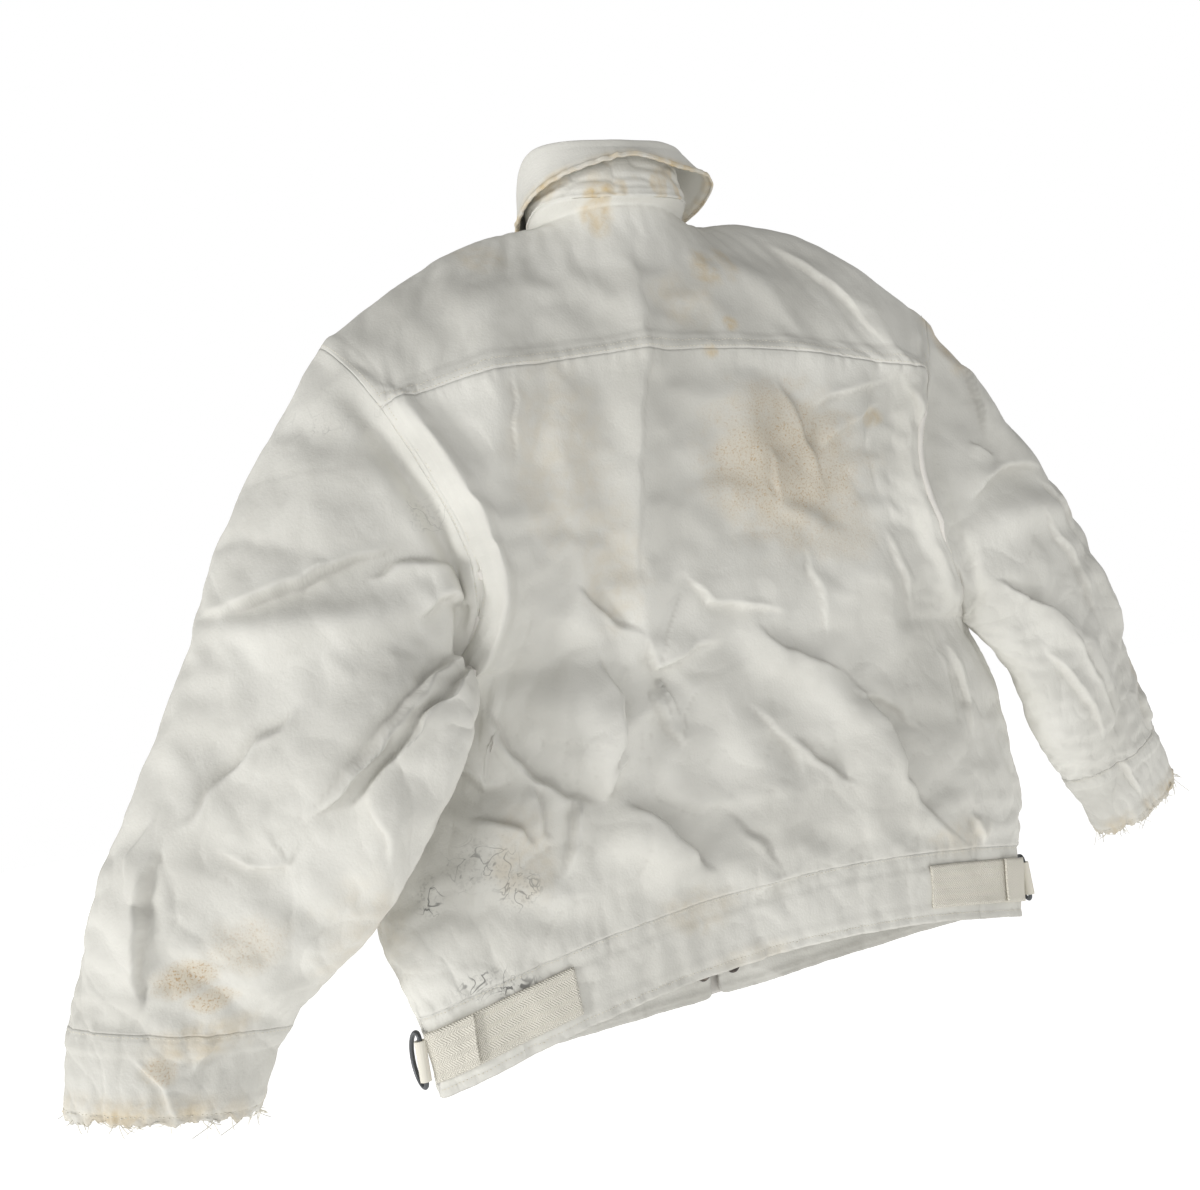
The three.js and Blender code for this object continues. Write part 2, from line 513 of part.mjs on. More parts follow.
const RING_SEAT = 2 * RING_WIRE + 2 * WEBBING_THICKNESS;   // the ring's bar stands this far off the waistband
const RING_CORNER = 6;
const BAR_STEPS = 4;
const BOW_STEPS = 12;
const LOOP_WALL = WEBBING_THICKNESS;
const HINGE_GAP = 0.35;
for (const [name, side] of Object.entries(sides)) {
  const u = bandShare(side, WEBBING_END + 0.03);
  const middle = backBand(u, 0.5);
  const outward = fromCore(middle).setZ(0).normalize();
  const forward = V(-outward.y * side.sign, outward.x * side.sign, 0).multiplyScalar(-1);
  const bar = middle.clone().addScaledVector(outward, RING_SEAT);
  const half = WEBBING_WIDTH / 2 + RING_WIRE + 1;
  const at = (f, z) => bar.clone().addScaledVector(forward, f).add(V(0, 0, z));
  const outline = [];
  for (let k = -BAR_STEPS; k <= BAR_STEPS; k++) {
    outline.push(at(0, (k / BAR_STEPS) * (half - RING_CORNER / 2)));
  }
  outline.push(at(RING_CORNER / 2, half));
  for (let k = 1; k < BOW_STEPS; k++) {
    const angle = 90 * DEG - (k / BOW_STEPS) * 180 * DEG;
    const bow = (RING_DEPTH - RING_CORNER / 2) * Math.cos(angle);
    outline.push(at(RING_CORNER / 2 + bow, half * Math.sin(angle)));
  }
  outline.push(at(RING_CORNER / 2, -half));
  addMesh(`${name}_d_ring`, wireLoop(outline, outward, RING_WIRE, 8), 'metal');
  const innerRadius = RING_WIRE + HINGE_GAP;
  const outerRadius = innerRadius + LOOP_WALL;
  const high = WEBBING_WIDTH / 2 - RING_CORNER / 2;
  const corners = [[innerRadius, -high], [outerRadius, -high], [outerRadius, high], [innerRadius, high]];
  const profile = [...corners, corners[0]].map(([r, z]) => new THREE.Vector2(r, z));
  const sleeveLoop = tidy(new THREE.LatheGeometry(profile, 16));
  sleeveLoop.rotateX(90 * DEG);
  addMesh(`${name}_ring_loop`, sleeveLoop, 'webbing').position.copy(bar);
}

// ---- zip: two tapes behind the fronts, and the slider with its pull ----
const ZIP_TOP = NECK_FRONT_DROP + 34;
const TAPE_THICKNESS = 1.2;
const tapeY = -FRONT_DEPTH + SHELL_THICKNESS + SEAM_GAP + TAPE_THICKNESS / 2;
const tapeLength = WAIST_FRONT - ZIP_TOP + 20;
const box = (x, y, z) => new THREE.BoxGeometry(x, y, z);
for (const [name, side] of Object.entries(sides)) {
  const tape = addMesh(`${name}_zip_tape`, box(TAPE_WIDTH, TAPE_THICKNESS, tapeLength), 'tape');
  tape.position.set(side.sign * (1 + TAPE_WIDTH / 2), tapeY, -ZIP_TOP + 10 - tapeLength / 2);
}
const SLIDER = V(2 * (ZIP_HALF_GAP - 0.8), 5.6, 12);
const sliderBack = tapeY - TAPE_THICKNESS / 2 - SEAM_GAP;
const slider = addMesh('zip_slider', box(SLIDER.x, SLIDER.y, SLIDER.z), 'metal');
slider.position.set(0, sliderBack - SLIDER.y / 2, -ZIP_TOP - SLIDER.z);
const PULL = V(6, 0.9, 24);
const pull = addMesh('zip_pull', box(PULL.x, PULL.y, PULL.z), 'metal');
pull.position.set(0, sliderBack - SLIDER.y - SEAM_GAP - PULL.y / 2, slider.position.z - PULL.z / 2 + 3);

// ---- storm flap over the zip, and its snaps ----
const FLAP_TOP = NECK_FRONT_DROP + 12;
const flapLength = BACK_LENGTH + FRONT_DROP - FLAP_TOP;
const flapInnerY = -FRONT_DEPTH - FLAP_CLEARANCE;
const flap = addMesh('storm_flap', box(2 * FLAP_HALF_WIDTH, SHELL_THICKNESS, flapLength), 'canvas');
flap.position.set(0, flapInnerY - SHELL_THICKNESS / 2, -FLAP_TOP - flapLength / 2);
const FLAP_ROOT_WIDTH = 7;
const FLAP_ROOT_SHORT = 30;    // the fold that joins the flap ends this much short of it
const flapRoot = addMesh('flap_root', box(
  FLAP_ROOT_WIDTH, FLAP_CLEARANCE - 2 * SEAM_GAP, flapLength - FLAP_ROOT_SHORT,
), 'canvas');
flapRoot.position.set(
  FLAP_HALF_WIDTH - FLAP_ROOT_WIDTH / 2, -FRONT_DEPTH - FLAP_CLEARANCE / 2, flap.position.z - 10,
);

const CAP_HEIGHT = 2.6;
const STUD_HEIGHT = (FLAP_CLEARANCE - 3 * SEAM_GAP) / 2;
const SNAP_INNER_RADIUS = 5.5;
function snapDisc(name, radius, height, x, y, z) {
  const profile = [[0, 0], [radius, 0], [radius, height * 0.45], [radius * 0.78, height], [0, height]];
  const disc = tidy(new THREE.LatheGeometry(profile.map(([r, h]) => new THREE.Vector2(r, h)), 10));
  disc.rotateX(180 * DEG);
  addMesh(name, disc, 'metal').position.set(x, y, z);
}
const snapSpots = [];
const SNAP_COLUMN = -18;
const firstSnap = -FLAP_TOP - 30;
const lastSnap = -WAIST_FRONT + 40;
for (let k = 0; k < SNAP_COUNT; k++) {
  snapSpots.push([SNAP_COLUMN, lerp(firstSnap, lastSnap, k / (SNAP_COUNT - 1))]);
}
const waistSnapZ = -WAIST_FRONT - WAISTBAND_HEIGHT * 0.6;
snapSpots.push([-21, waistSnapZ], [12, waistSnapZ]);
snapSpots.forEach(([x, z], k) => {
  const number = k + 1;
  snapDisc(`snap_cap_${number}`, SNAP_RADIUS, CAP_HEIGHT, x, flapInnerY - SHELL_THICKNESS - SEAM_GAP, z);
  const socketY = flapInnerY + SEAM_GAP + STUD_HEIGHT;
  snapDisc(`snap_socket_${number}`, SNAP_INNER_RADIUS, STUD_HEIGHT, x, socketY, z);
  snapDisc(`snap_stud_${number}`, SNAP_INNER_RADIUS, STUD_HEIGHT, x, -FRONT_DEPTH - SEAM_GAP, z);
});

export default jacket;
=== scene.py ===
# %% [markdown]
# # A padded canvas work jacket on an unseen hanger
# The jacket is a garment of sewn panels. Each panel is laid out as a smooth surface first, the panels are
# welded along their seams, a cloth simulation wrinkles them together, and then stitches, webbing and metal
# go on top. A garment could also be sculpted, but a lesson in panels teaches how real clothes are cut.

# %% Load the shared frame
import math

import bpy
import numpy as np
from mathutils import Matrix, Vector, noise
from mathutils.bvhtree import BVHTree
from mathutils.kdtree import KDTree


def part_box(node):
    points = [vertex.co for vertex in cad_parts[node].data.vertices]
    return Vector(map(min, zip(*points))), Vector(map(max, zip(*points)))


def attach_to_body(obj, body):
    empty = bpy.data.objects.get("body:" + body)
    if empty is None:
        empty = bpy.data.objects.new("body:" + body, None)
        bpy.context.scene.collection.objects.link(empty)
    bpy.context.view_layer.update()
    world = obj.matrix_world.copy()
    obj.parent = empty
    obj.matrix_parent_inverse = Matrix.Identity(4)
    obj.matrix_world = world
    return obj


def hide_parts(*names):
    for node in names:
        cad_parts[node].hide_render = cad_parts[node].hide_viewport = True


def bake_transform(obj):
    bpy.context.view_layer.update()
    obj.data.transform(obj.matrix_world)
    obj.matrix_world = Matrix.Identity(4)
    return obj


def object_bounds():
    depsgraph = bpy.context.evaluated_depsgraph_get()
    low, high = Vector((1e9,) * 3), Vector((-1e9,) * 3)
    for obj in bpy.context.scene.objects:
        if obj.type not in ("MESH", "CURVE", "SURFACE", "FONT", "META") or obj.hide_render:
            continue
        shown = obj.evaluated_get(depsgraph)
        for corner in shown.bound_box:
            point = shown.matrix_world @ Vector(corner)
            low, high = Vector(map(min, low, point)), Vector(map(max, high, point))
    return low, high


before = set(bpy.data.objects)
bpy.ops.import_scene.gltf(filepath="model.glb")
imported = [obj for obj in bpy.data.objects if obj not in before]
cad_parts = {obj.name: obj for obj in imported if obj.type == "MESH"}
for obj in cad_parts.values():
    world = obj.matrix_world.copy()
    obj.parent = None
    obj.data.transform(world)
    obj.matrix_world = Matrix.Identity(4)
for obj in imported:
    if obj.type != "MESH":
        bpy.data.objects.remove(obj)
cad_low, cad_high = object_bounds()
MM = 0.001
print("CAD nodes:", len(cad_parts), "box", [round(x, 3) for x in cad_low],
      [round(x, 3) for x in cad_high])

# %% [markdown]
# ## Sizes and pattern points
# The same driving sizes as the solid model, in millimetres: +Z up, +X the wearer's left, +Y the back. The
# pattern points are shares of those sizes, so that one changed size moves the whole panel. They could be
# picked by hand in the viewport, but shares keep both models the same shape.

# %% Driving sizes and pattern points
BACK_LENGTH, FRONT_DROP, HALF_CHEST = 695, 55, 320
BACK_DEPTH, FRONT_DEPTH = 62, 75
WAISTBAND_HEIGHT, YOKE_DEPTH = 62, 148
SLEEVE_LENGTH, CUFF_HALF_WIDTH, CUFF_HALF_THICKNESS = 500, 71, 34
NECK_HALF_WIDTH, NECK_FRONT_DROP, NECK_CENTRE_Y = 80, 62, -6
SHOULDER_RISE, ZIP_HALF_GAP = 14, 5
STAND_HEIGHT, FALL_HEIGHT = 46, 34
WEBBING_WIDTH = 38
ARMHOLE_POINTS, YOKE_END, ARMPIT, FRONT_SEAM_END = 13, 2, 7, 12

SIDES = {
    "left": {
        "sign": 1,
        "ridge": 20,
        "armhole": [
            (0.925, 0.1, 0.158), (0.885, 0.7, 0.198), (0.815, 0.93, 0.256), (0.74, 1.0, 0.338),
            (0.672, 1.0, 0.424), (0.648, 0.88, 0.497), (0.69, 0.4, 0.56), (0.76, -0.3, 0.58),
            (0.7, -0.72, 0.55), (0.655, -0.9, 0.475), (0.7, -0.88, 0.374), (0.79, -0.76, 0.28),
            (0.88, -0.42, 0.2),
        ],
        "side_seam": [(0.88, -0.42, 0.7), (0.97, -0.36, 0.8), (1.0, -0.1, 0.88), (0.95, 0.12, 0.966)],
        "hem_side": (0.925, 0.12, 1.06),
        # out, y, down, width, thick, slope, twist, lean
        "sleeve": [
            (0.128, 14, 0.127, 114, 50, 43, 8, 8), (0.203, 38, 0.29, 112, 36, 26, 14, 22),
            (0.36, 14, 0.565, 106, 36, 17, 16, 20), (0.475, -15, 0.742, 82, 36, 13, 10, 0),
            (0.52, -23, 0.865, CUFF_HALF_WIDTH, CUFF_HALF_THICKNESS, 13, 9, 0),
        ],
    },
    "right": {
        "sign": -1,
        "ridge": 48,
        "armhole": [
            (1.01, 0.42, 0.17), (0.945, 0.85, 0.21), (0.885, 1.03, 0.27), (0.81, 1.1, 0.345),
            (0.79, 1.1, 0.41), (0.83, 1.02, 0.49), (0.9, 0.7, 0.58), (0.955, 0.1, 0.62),
            (0.9, -0.55, 0.58), (0.82, -0.86, 0.48), (0.81, -0.84, 0.375), (0.87, -0.7, 0.285),
            (0.935, -0.28, 0.215),
        ],
        "side_seam": [(1.04, 0.05, 0.72), (1.06, 0.05, 0.81), (1.055, 0.08, 0.9), (1.0, 0.15, 0.96)],
        "hem_side": (0.97, 0.12, 1.06),
        "sleeve": [
            (0.208, 6, 0.176, 120, 52, 42, 14, 0), (0.312, 6, 0.366, 112, 42, 22, 20, 0),
            (0.378, -10, 0.55, 106, 40, 18, 20, 0), (0.456, -30, 0.674, 80, 36, 14, 12, 0),
            (0.53, -45, 0.802, CUFF_HALF_WIDTH, CUFF_HALF_THICKNESS, 20, 12, 0),
        ],
    },
}


def vec(*xyz):
    return np.array(xyz, float)


def unit(v):
    return v / np.maximum(np.linalg.norm(v, axis=-1, keepdims=True), 1e-9)


def mix(a, b, t):
    return a + (b - a) * t


def smooth(a, b, x):
    t = np.clip((x - a) / (b - a), 0, 1)
    return t * t * (3 - 2 * t)


def spline(points, t):
    """The point at share t of a smooth curve through points. Each point may itself be a row of points."""
    p = np.asarray(points, float)
    last = len(p) - 1
    where = min(max(t, 0), 1) * last
    i = min(int(where), last - 1)
    w = where - i
    b, c = p[i], p[i + 1]
    a = p[i - 1] if i else 2 * p[0] - p[1]
    d = p[i + 2] if i + 2 <= last else 2 * p[last] - p[last - 1]
    ab, bc, cd = (np.maximum(((n - m) ** 2).sum(-1, keepdims=True) ** 0.25, 1e-4)
                  for m, n in ((a, b), (b, c), (c, d)))
    out_b = ((b - a) / ab - (c - a) / (ab + bc) + (c - b) / bc) * bc
    in_c = ((c - b) / bc - (d - b) / (bc + cd) + (d - c) / cd) * bc
    return (b * (2 * w**3 - 3 * w**2 + 1) + out_b * (w**3 - 2 * w**2 + w)
            + c * (3 * w**2 - 2 * w**3) + in_c * (w**3 - w**2))


def pattern_point(side, shares):
    across, deep, down = shares
    depth = FRONT_DEPTH if deep < 0 else BACK_DEPTH
    return vec(side["sign"] * across * HALF_CHEST, deep * depth, -down * BACK_LENGTH)


for side in SIDES.values():
    loop = [pattern_point(side, p) for p in side["armhole"]]
    side["shoulder"] = loop[:YOKE_END]
    side["back_armhole"] = loop[YOKE_END:ARMPIT + 1]
    side["front_armhole"] = loop[ARMPIT:][::-1]
    side["seam"] = [loop[ARMPIT]] + [pattern_point(side, p) for p in side["side_seam"]]
    side["hem"] = pattern_point(side, side["hem_side"])
print("pattern points:", {k: len(s["armhole"]) + len(s["side_seam"]) for k, s in SIDES.items()})

# %% [markdown]
# ## Panel surfaces
# Each panel is a grid of points. A row of the body runs from the middle to the side seam along a quarter of
# a superellipse, flat in the middle and turning over the side. Lofting between hand-drawn curves would do
# as well.

# %% Surfaces of the body, yoke, waistband and sleeves
ARMHOLE_SHARE = 5 / 9
ROW_POWER = 2 / 2.6
NECK_SHARE = 0.25
NECK_TO_SHOULDER = 0.5
SHOULDER_SEAM_TURN = math.radians(122)
WAIST_BACK = BACK_LENGTH - WAISTBAND_HEIGHT
WAIST_FRONT = BACK_LENGTH + FRONT_DROP - WAISTBAND_HEIGHT
SLEEVE_SHARE = 0.8


def edge_point(side, armhole, v):
    if v <= ARMHOLE_SHARE:
        return spline(armhole, v / ARMHOLE_SHARE)
    return spline(side["seam"], (v - ARMHOLE_SHARE) / (1 - ARMHOLE_SHARE))


def back_line(v):
    return vec(0, BACK_DEPTH * mix(1.1, 0.75, v), mix(-YOKE_DEPTH, -WAIST_BACK, v))


def neck_point(turn, grow=0.0, lift=0.0):
    turn = np.asarray(turn, float)
    radius = np.where(np.cos(turn) > 0, BACK_DEPTH - NECK_CENTRE_Y, FRONT_DEPTH + NECK_CENTRE_Y)
    dip = NECK_FRONT_DROP * ((1 - np.cos(turn)) / 2) ** 3
    return np.stack([(NECK_HALF_WIDTH + grow) * np.sin(turn), NECK_CENTRE_Y + (radius + grow) * np.cos(turn),
                     SHOULDER_RISE * np.sin(turn) ** 2 - dip + lift], -1)


def row(inner, edge, shares):
    across = np.sin(shares * math.pi / 2) ** ROW_POWER
    deep = np.maximum(np.cos(shares * math.pi / 2), 0) ** ROW_POWER
    return np.stack([mix(inner[0], edge[0], across), mix(edge[1], inner[1], deep),
                     mix(inner[2], edge[2], across**2)], -1)


def front_line(side, v):
    fall = (v - NECK_SHARE) / (1 - NECK_SHARE)
    if fall >= 0:
        return vec(side["sign"] * ZIP_HALF_GAP, -FRONT_DEPTH, mix(-NECK_FRONT_DROP, -WAIST_FRONT, fall))
    last = math.pi - math.asin(ZIP_HALF_GAP / NECK_HALF_WIDTH)
    return neck_point(mix(SHOULDER_SEAM_TURN, last, v / NECK_SHARE)) * (side["sign"], 1, 1)


def back_row(side, v, shares):
    return row(back_line(v), edge_point(side, side["back_armhole"], v), shares)


def front_row(side, v, shares):
    return row(front_line(side, v), edge_point(side, side["front_armhole"], v), shares)


def yoke_row(side, v, shares):
    points = []
    starts = back_row(side, 0, shares)
    for share, start in zip(shares, starts):
        on_neck = min(share / NECK_TO_SHOULDER, 1)
        on_shoulder = max((share - NECK_TO_SHOULDER) / (1 - NECK_TO_SHOULDER), 0)
        neck = neck_point(SHOULDER_SEAM_TURN * on_neck) * (side["sign"], 1, 1)
        end = front_row(side, 0, np.array([on_shoulder]))[0] if on_shoulder > 0 else neck
        ridge = mix(neck_point(math.pi / 2, 9, -3) * (side["sign"], 1, 1), side["shoulder"][0], on_shoulder)
        ridge[2] += side["ridge"] * math.sin(math.pi * on_shoulder) ** 1.3
        below = mix(start, ridge, 0.55)
        below[1] = mix(start[1], ridge[1], 0.3)
        below = mix(below, side["shoulder"][1], on_shoulder**2)
        middle = [mix(mix(start, end, 0.4), below, on_neck**2), mix(mix(start, end, 0.8), ridge, on_neck**2)]
        points.append(spline([start, *middle, end], v))
    return np.array(points)


def armhole_point(side, t):
    t = t % ARMHOLE_POINTS
    span = YOKE_END + ARMHOLE_POINTS - FRONT_SEAM_END
    one = np.array([1.0])
    if t <= YOKE_END:
        return yoke_row(side, (YOKE_END - t) / span, one)[0]
    if t <= ARMPIT:
        return spline(side["back_armhole"], (t - YOKE_END) / (ARMPIT - YOKE_END))
    if t <= FRONT_SEAM_END:
        return spline(side["front_armhole"], (FRONT_SEAM_END - t) / (FRONT_SEAM_END - ARMPIT))
    return yoke_row(side, (YOKE_END + ARMHOLE_POINTS - t) / span, one)[0]


def band_row(side, front, v, shares):
    if front:
        top = row(front_line(side, 1), edge_point(side, side["front_armhole"], 1), shares)
        low = row(vec(side["sign"] * ZIP_HALF_GAP, -FRONT_DEPTH, -BACK_LENGTH - FRONT_DROP), side["hem"],
                  shares)
    else:
        top = row(back_line(1), edge_point(side, side["back_armhole"], 1), shares)
        low = row(vec(0, BACK_DEPTH * 0.7, -BACK_LENGTH), side["hem"], shares)
    return mix(top, low, v)


def sleeve_sections(side, turns):
    heads = np.array([armhole_point(side, t * ARMHOLE_POINTS) for t in turns])
    centre = np.mean([armhole_point(side, t) for t in range(ARMHOLE_POINTS)], axis=0)
    rows = [heads]
    for out, y, down, width, thick, slope, twist, lean in side["sleeve"]:
        slope, twist = math.radians(slope), math.radians(twist)
        middle = vec(centre[0] + side["sign"] * out * SLEEVE_LENGTH, y, centre[2] - down * SLEEVE_LENGTH)
        across = width * vec(side["sign"] * math.cos(slope) * math.cos(twist), -math.sin(twist),
                             math.sin(slope) * math.cos(twist))
        deep = thick * vec(side["sign"] * math.sin(twist), math.cos(twist), 0)
        angle = turns[:, None] * 2 * math.pi
        inner = np.maximum(-np.cos(angle), 0) ** 2
        rows.append(middle + across * np.cos(angle) + deep * np.sin(angle) + vec(0, lean, 0) * inner)
    return np.array(rows)


# %% [markdown]
# ## Panel grids
# The panels share their edge points exactly, so that they can be welded into one garment. FINE is how many
# columns of a sleeve go to each point of the armhole, and the body's rows follow it. A real pattern is
# notched the same way, to match one edge to the other.

# %% Grids of points for every panel
FINE = 6
NECK_COLUMNS, SHOULDER_COLUMNS = 20, 28
EVEN = 1.3      # evens out the columns of a superellipse row
front_shares = np.linspace(0, 1, SHOULDER_COLUMNS + 1) ** EVEN
half_shares = np.concatenate([NECK_TO_SHOULDER * np.linspace(0, 1, NECK_COLUMNS + 1)[:-1] ** EVEN,
                              NECK_TO_SHOULDER + (1 - NECK_TO_SHOULDER) * front_shares])
BAND_ROWS, SLEEVE_ROWS, CUFF_ROWS = 7, 60, 12


def both(rows_of, v):
    """A row from the wearer's right side seam across the middle to the left one."""
    right, left = rows_of(SIDES["right"], v, half_shares), rows_of(SIDES["left"], v, half_shares)
    return np.concatenate([right[::-1], left[1:]])


grids = {
    "back_panel": np.array([both(back_row, v) for v in np.linspace(0, 1, 9 * FINE + 1)]),
    "back_yoke": np.array([both(yoke_row, v) for v in np.linspace(0, 1, 3 * FINE + 1)]),
    "back_waistband": np.array([both(lambda s, t, h: band_row(s, False, t, h), v)
                                for v in np.linspace(0, 1, BAND_ROWS + 1)]),
}
EASING = 90     # rounds of smoothing across the yoke, where the neck edge meets the shoulder edge
yoke = grids["back_yoke"]
for _ in range(EASING):
    yoke[1:-1, 1:-1] += 0.25 * (yoke[1:-1, :-2] + yoke[1:-1, 2:] - 2 * yoke[1:-1, 1:-1])
for name, side in SIDES.items():
    grids[f"{name}_front_panel"] = np.array([front_row(side, v, front_shares)
                                             for v in np.linspace(0, 1, 9 * FINE + 1)])
    grids[f"{name}_front_waistband"] = np.array([band_row(side, True, v, front_shares)
                                                 for v in np.linspace(0, 1, BAND_ROWS + 1)])
    turns = np.arange(ARMHOLE_POINTS * FINE + 1) / (ARMHOLE_POINTS * FINE)
    sections = sleeve_sections(side, turns)
    down = np.concatenate([np.linspace(0, SLEEVE_SHARE, SLEEVE_ROWS + 1),
                           np.linspace(SLEEVE_SHARE, 1, CUFF_ROWS + 1)[1:]])
    tube = np.array([spline(sections, v) for v in down])
    grids[f"{name}_sleeve"] = tube[:SLEEVE_ROWS + 1]
    grids[f"{name}_cuff"] = tube[SLEEVE_ROWS:]
print({k: g.shape[:2] for k, g in grids.items()})

# %% [markdown]
# ## One welded garment
# Sewing is a weld: where two panels share an edge their points become one. Then the cloth can pull across a
# seam just as real cloth does. Blender's sewing springs could close the seams too, but they need many more
# frames.

# %% Weld the panels
WELD = 0.05     # mm: nearer points are one point
order = list(grids)
offsets = np.cumsum([0] + [grids[k].shape[0] * grids[k].shape[1] for k in order])
loose = np.concatenate([grids[k].reshape(-1, 3) for k in order])
ids_of = {k: a + np.arange(b - a).reshape(grids[k].shape[:2]) for k, a,
          b in zip(order, offsets[:-1], offsets[1:])}
tree = KDTree(len(loose))
for i, p in enumerate(loose):
    tree.insert(p, i)
tree.balance()
first = np.arange(len(loose))
for ids in ids_of.values():
    for i in np.concatenate([ids[0], ids[-1], ids[:, 0], ids[:, -1]]):
        first[i] = min(j for _, j, _ in tree.find_range(loose[i], WELD))
kept, welded_as = np.unique(first, return_inverse=True)
smooth_garment = loose[kept]
index_of = {k: welded_as[ids] for k, ids in ids_of.items()}


def out_from(name, points):
    """A rough way out of the body or of a sleeve, to turn each panel's faces the right way."""
    if "sleeve" in name or "cuff" in name:
        return points - points.mean(axis=1, keepdims=True)
    return points - np.stack([0.8 * points[..., 0], 0 * points[..., 1],
                              np.minimum(points[..., 2], -60 - 0.42 * abs(points[..., 0]))], -1)


def quads_of(name):
    ids, g = index_of[name], grids[name]
    square = np.cross(g[1:, 1:] - g[:-1, :-1], g[:-1, 1:] - g[1:, :-1])
    faces = np.stack([ids[:-1, :-1], ids[1:, :-1], ids[1:, 1:], ids[:-1, 1:]], -1)
    if (square * out_from(name, g)[:-1, :-1]).sum() < 0:
        faces = faces[..., ::-1]
    return faces.reshape(-1, 4)


panel_quads = {k: quads_of(k) for k in order}
quads = np.concatenate(list(panel_quads.values()))


def way_out(points):
    """Square to the welded cloth at each point, as an average over the faces round it."""
    a, b, c, d = (points[quads[:, k]] for k in range(4))
    square = np.cross(c - a, d - b)
    total = np.zeros_like(points)
    for k in range(4):
        np.add.at(total, quads[:, k], square)
    return unit(total)


on = {k: np.zeros(len(kept), bool) for k in order}
for k, ids in index_of.items():
    on[k][ids.ravel()] = True
print("welded", len(loose), "points into", len(kept), "with", len(quads), "faces")

# %% [markdown]
# ## Soft folds, placed one by one
# A fold is a stroke across the cloth, given by a few places on the back view: how far left and how far up.
# These ones are soft and broad, and they are the starting shape of the simulation. Brushes in sculpt mode
# do the same by hand; strokes in a list can be moved and tried again.

# %% Place the soft folds
def along_path(points, path):
    """How far each point is from a path on the back view, with its side as a sign, and the share along it."""
    p = points[:, [0, 2]]
    path = np.array(path, float)
    steps = np.diff(path, axis=0)
    lengths = np.linalg.norm(steps, axis=1)
    best = np.full(len(p), 1e9)
    signed, share = np.zeros(len(p)), np.zeros(len(p))
    gone = 0.0
    for start, step, length in zip(path, steps, lengths):
        t = np.clip(((p - start) @ step) / length**2, 0, 1)
        away = p - start - t[:, None] * step
        d = np.linalg.norm(away, axis=1)
        near = d < best
        right = step[0] * away[:, 1] - step[1] * away[:, 0] < 0
        best[near] = d[near]
        signed[near] = np.where(right, d, -d)[near]
        share[near] = ((gone + t * length) / lengths.sum())[near]
        gone += length
    return signed, share


def swell(points, path, height, width):
    """A soft ridge, as high as height in the middle of its path, fading out at both ends."""
    away, share = along_path(points, path)
    return height * np.exp(-((away / width) ** 2)) * smooth(-0.05, 0.35, share) * smooth(1.05, 0.65, share)


SWELL_STRENGTH = 1.5
BODY_SWELLS = [  # path of (left, up) in mm, height, width
    ([(8, -20), (30, -170), (62, -330), (70, -440)], 6, 24), ([(150, -60), (185, -250), (165, -400)], 8, 30),
    ([(100, -120), (120, -250), (125, -400)], 4, 20), ([(-60, -150), (-80, -320)], 4, 30),
    ([(-230, -80), (-262, -200), (-270, -400)], 6, 20), ([(165, -420), (120, -470), (150, -520)], 12, 32),
    ([(-20, -400), (-110, -470), (-200, -600)], 5, 22), ([(20, -430), (-40, -560), (-20, -640)], 4, 28),
    ([(230, -500), (240, -600)], 10, 26), ([(130, -540), (60, -600)], 7, 20),
    ([(-140, -520), (-120, -620)], 5, 24),
    ([(-180, -330), (-210, -480)], 4, 26), ([(95, -60), (200, -120)], 4, 24),
    ([(-60, -50), (-170, -110)], 4, 24),
]
LEFT_SWELLS = [
    ([(420, -345), (330, -350), (250, -345)], 8, 20), ([(255, -380), (340, -440), (420, -520)], 8, 22),
    ([(440, -420), (480, -520), (520, -620)], 5, 26), ([(380, -560), (440, -620)], 4, 26),
    ([(300, -200), (350, -290)], 5, 40), ([(300, -470), (340, -560)], 6, 18),
]
RIGHT_SWELLS = [
    ([(-330, -150), (-380, -250), (-440, -320)], 6, 22), ([(-310, -350), (-380, -330), (-460, -340)], 7, 18),
    ([(-350, -430), (-420, -480), (-480, -560)], 5, 18), ([(-470, -380), (-530, -480)], 5, 20),
]

out = way_out(smooth_garment)
back_side = smooth(-0.1, 0.35, out[:, 1])
is_left = on["left_sleeve"] | on["left_cuff"]
is_right = on["right_sleeve"] | on["right_cuff"]
is_body = ~(is_left | is_right) | on["back_panel"] | on["back_yoke"]
lift = np.zeros(len(kept))
for swells, mask in ((BODY_SWELLS, is_body), (LEFT_SWELLS, is_left), (RIGHT_SWELLS, is_right)):
    for path, height, width in swells:
        lift[mask] += SWELL_STRENGTH * swell(smooth_garment[mask], path, height, width)


def distance_to(points, line):
    near = KDTree(len(line))
    for i, p in enumerate(line):
        near.insert(p, i)
    near.balance()
    return np.array([near.find(p)[2] for p in points])


armholes = {name: np.array([armhole_point(side, t) for t in np.linspace(0, ARMHOLE_POINTS, 150)])
            for name, side in SIDES.items()}
# beside its armhole the back stands in a roll, and the sleeve dives in under it
ROLL_HEIGHT = {"left": 17, "right": 6}
ROLL_AWAY, ROLL_WIDTH = 15, 10
low_down = smooth(-130, -230, smooth_garment[:, 2]) * smooth(-450, -410, smooth_garment[:, 2])
for name, height in ROLL_HEIGHT.items():
    roll = height * np.exp(-(((distance_to(smooth_garment, armholes[name]) - ROLL_AWAY) / ROLL_WIDTH) ** 2))
    roll *= low_down
    lift += np.where(on["back_panel"], roll, -0.8 * roll * (is_left | is_right))
folded = smooth_garment + out * (lift * back_side)[:, None]
print("soft folds lift the cloth by", lift.min().round(1), "to", lift.max().round(1), "mm")

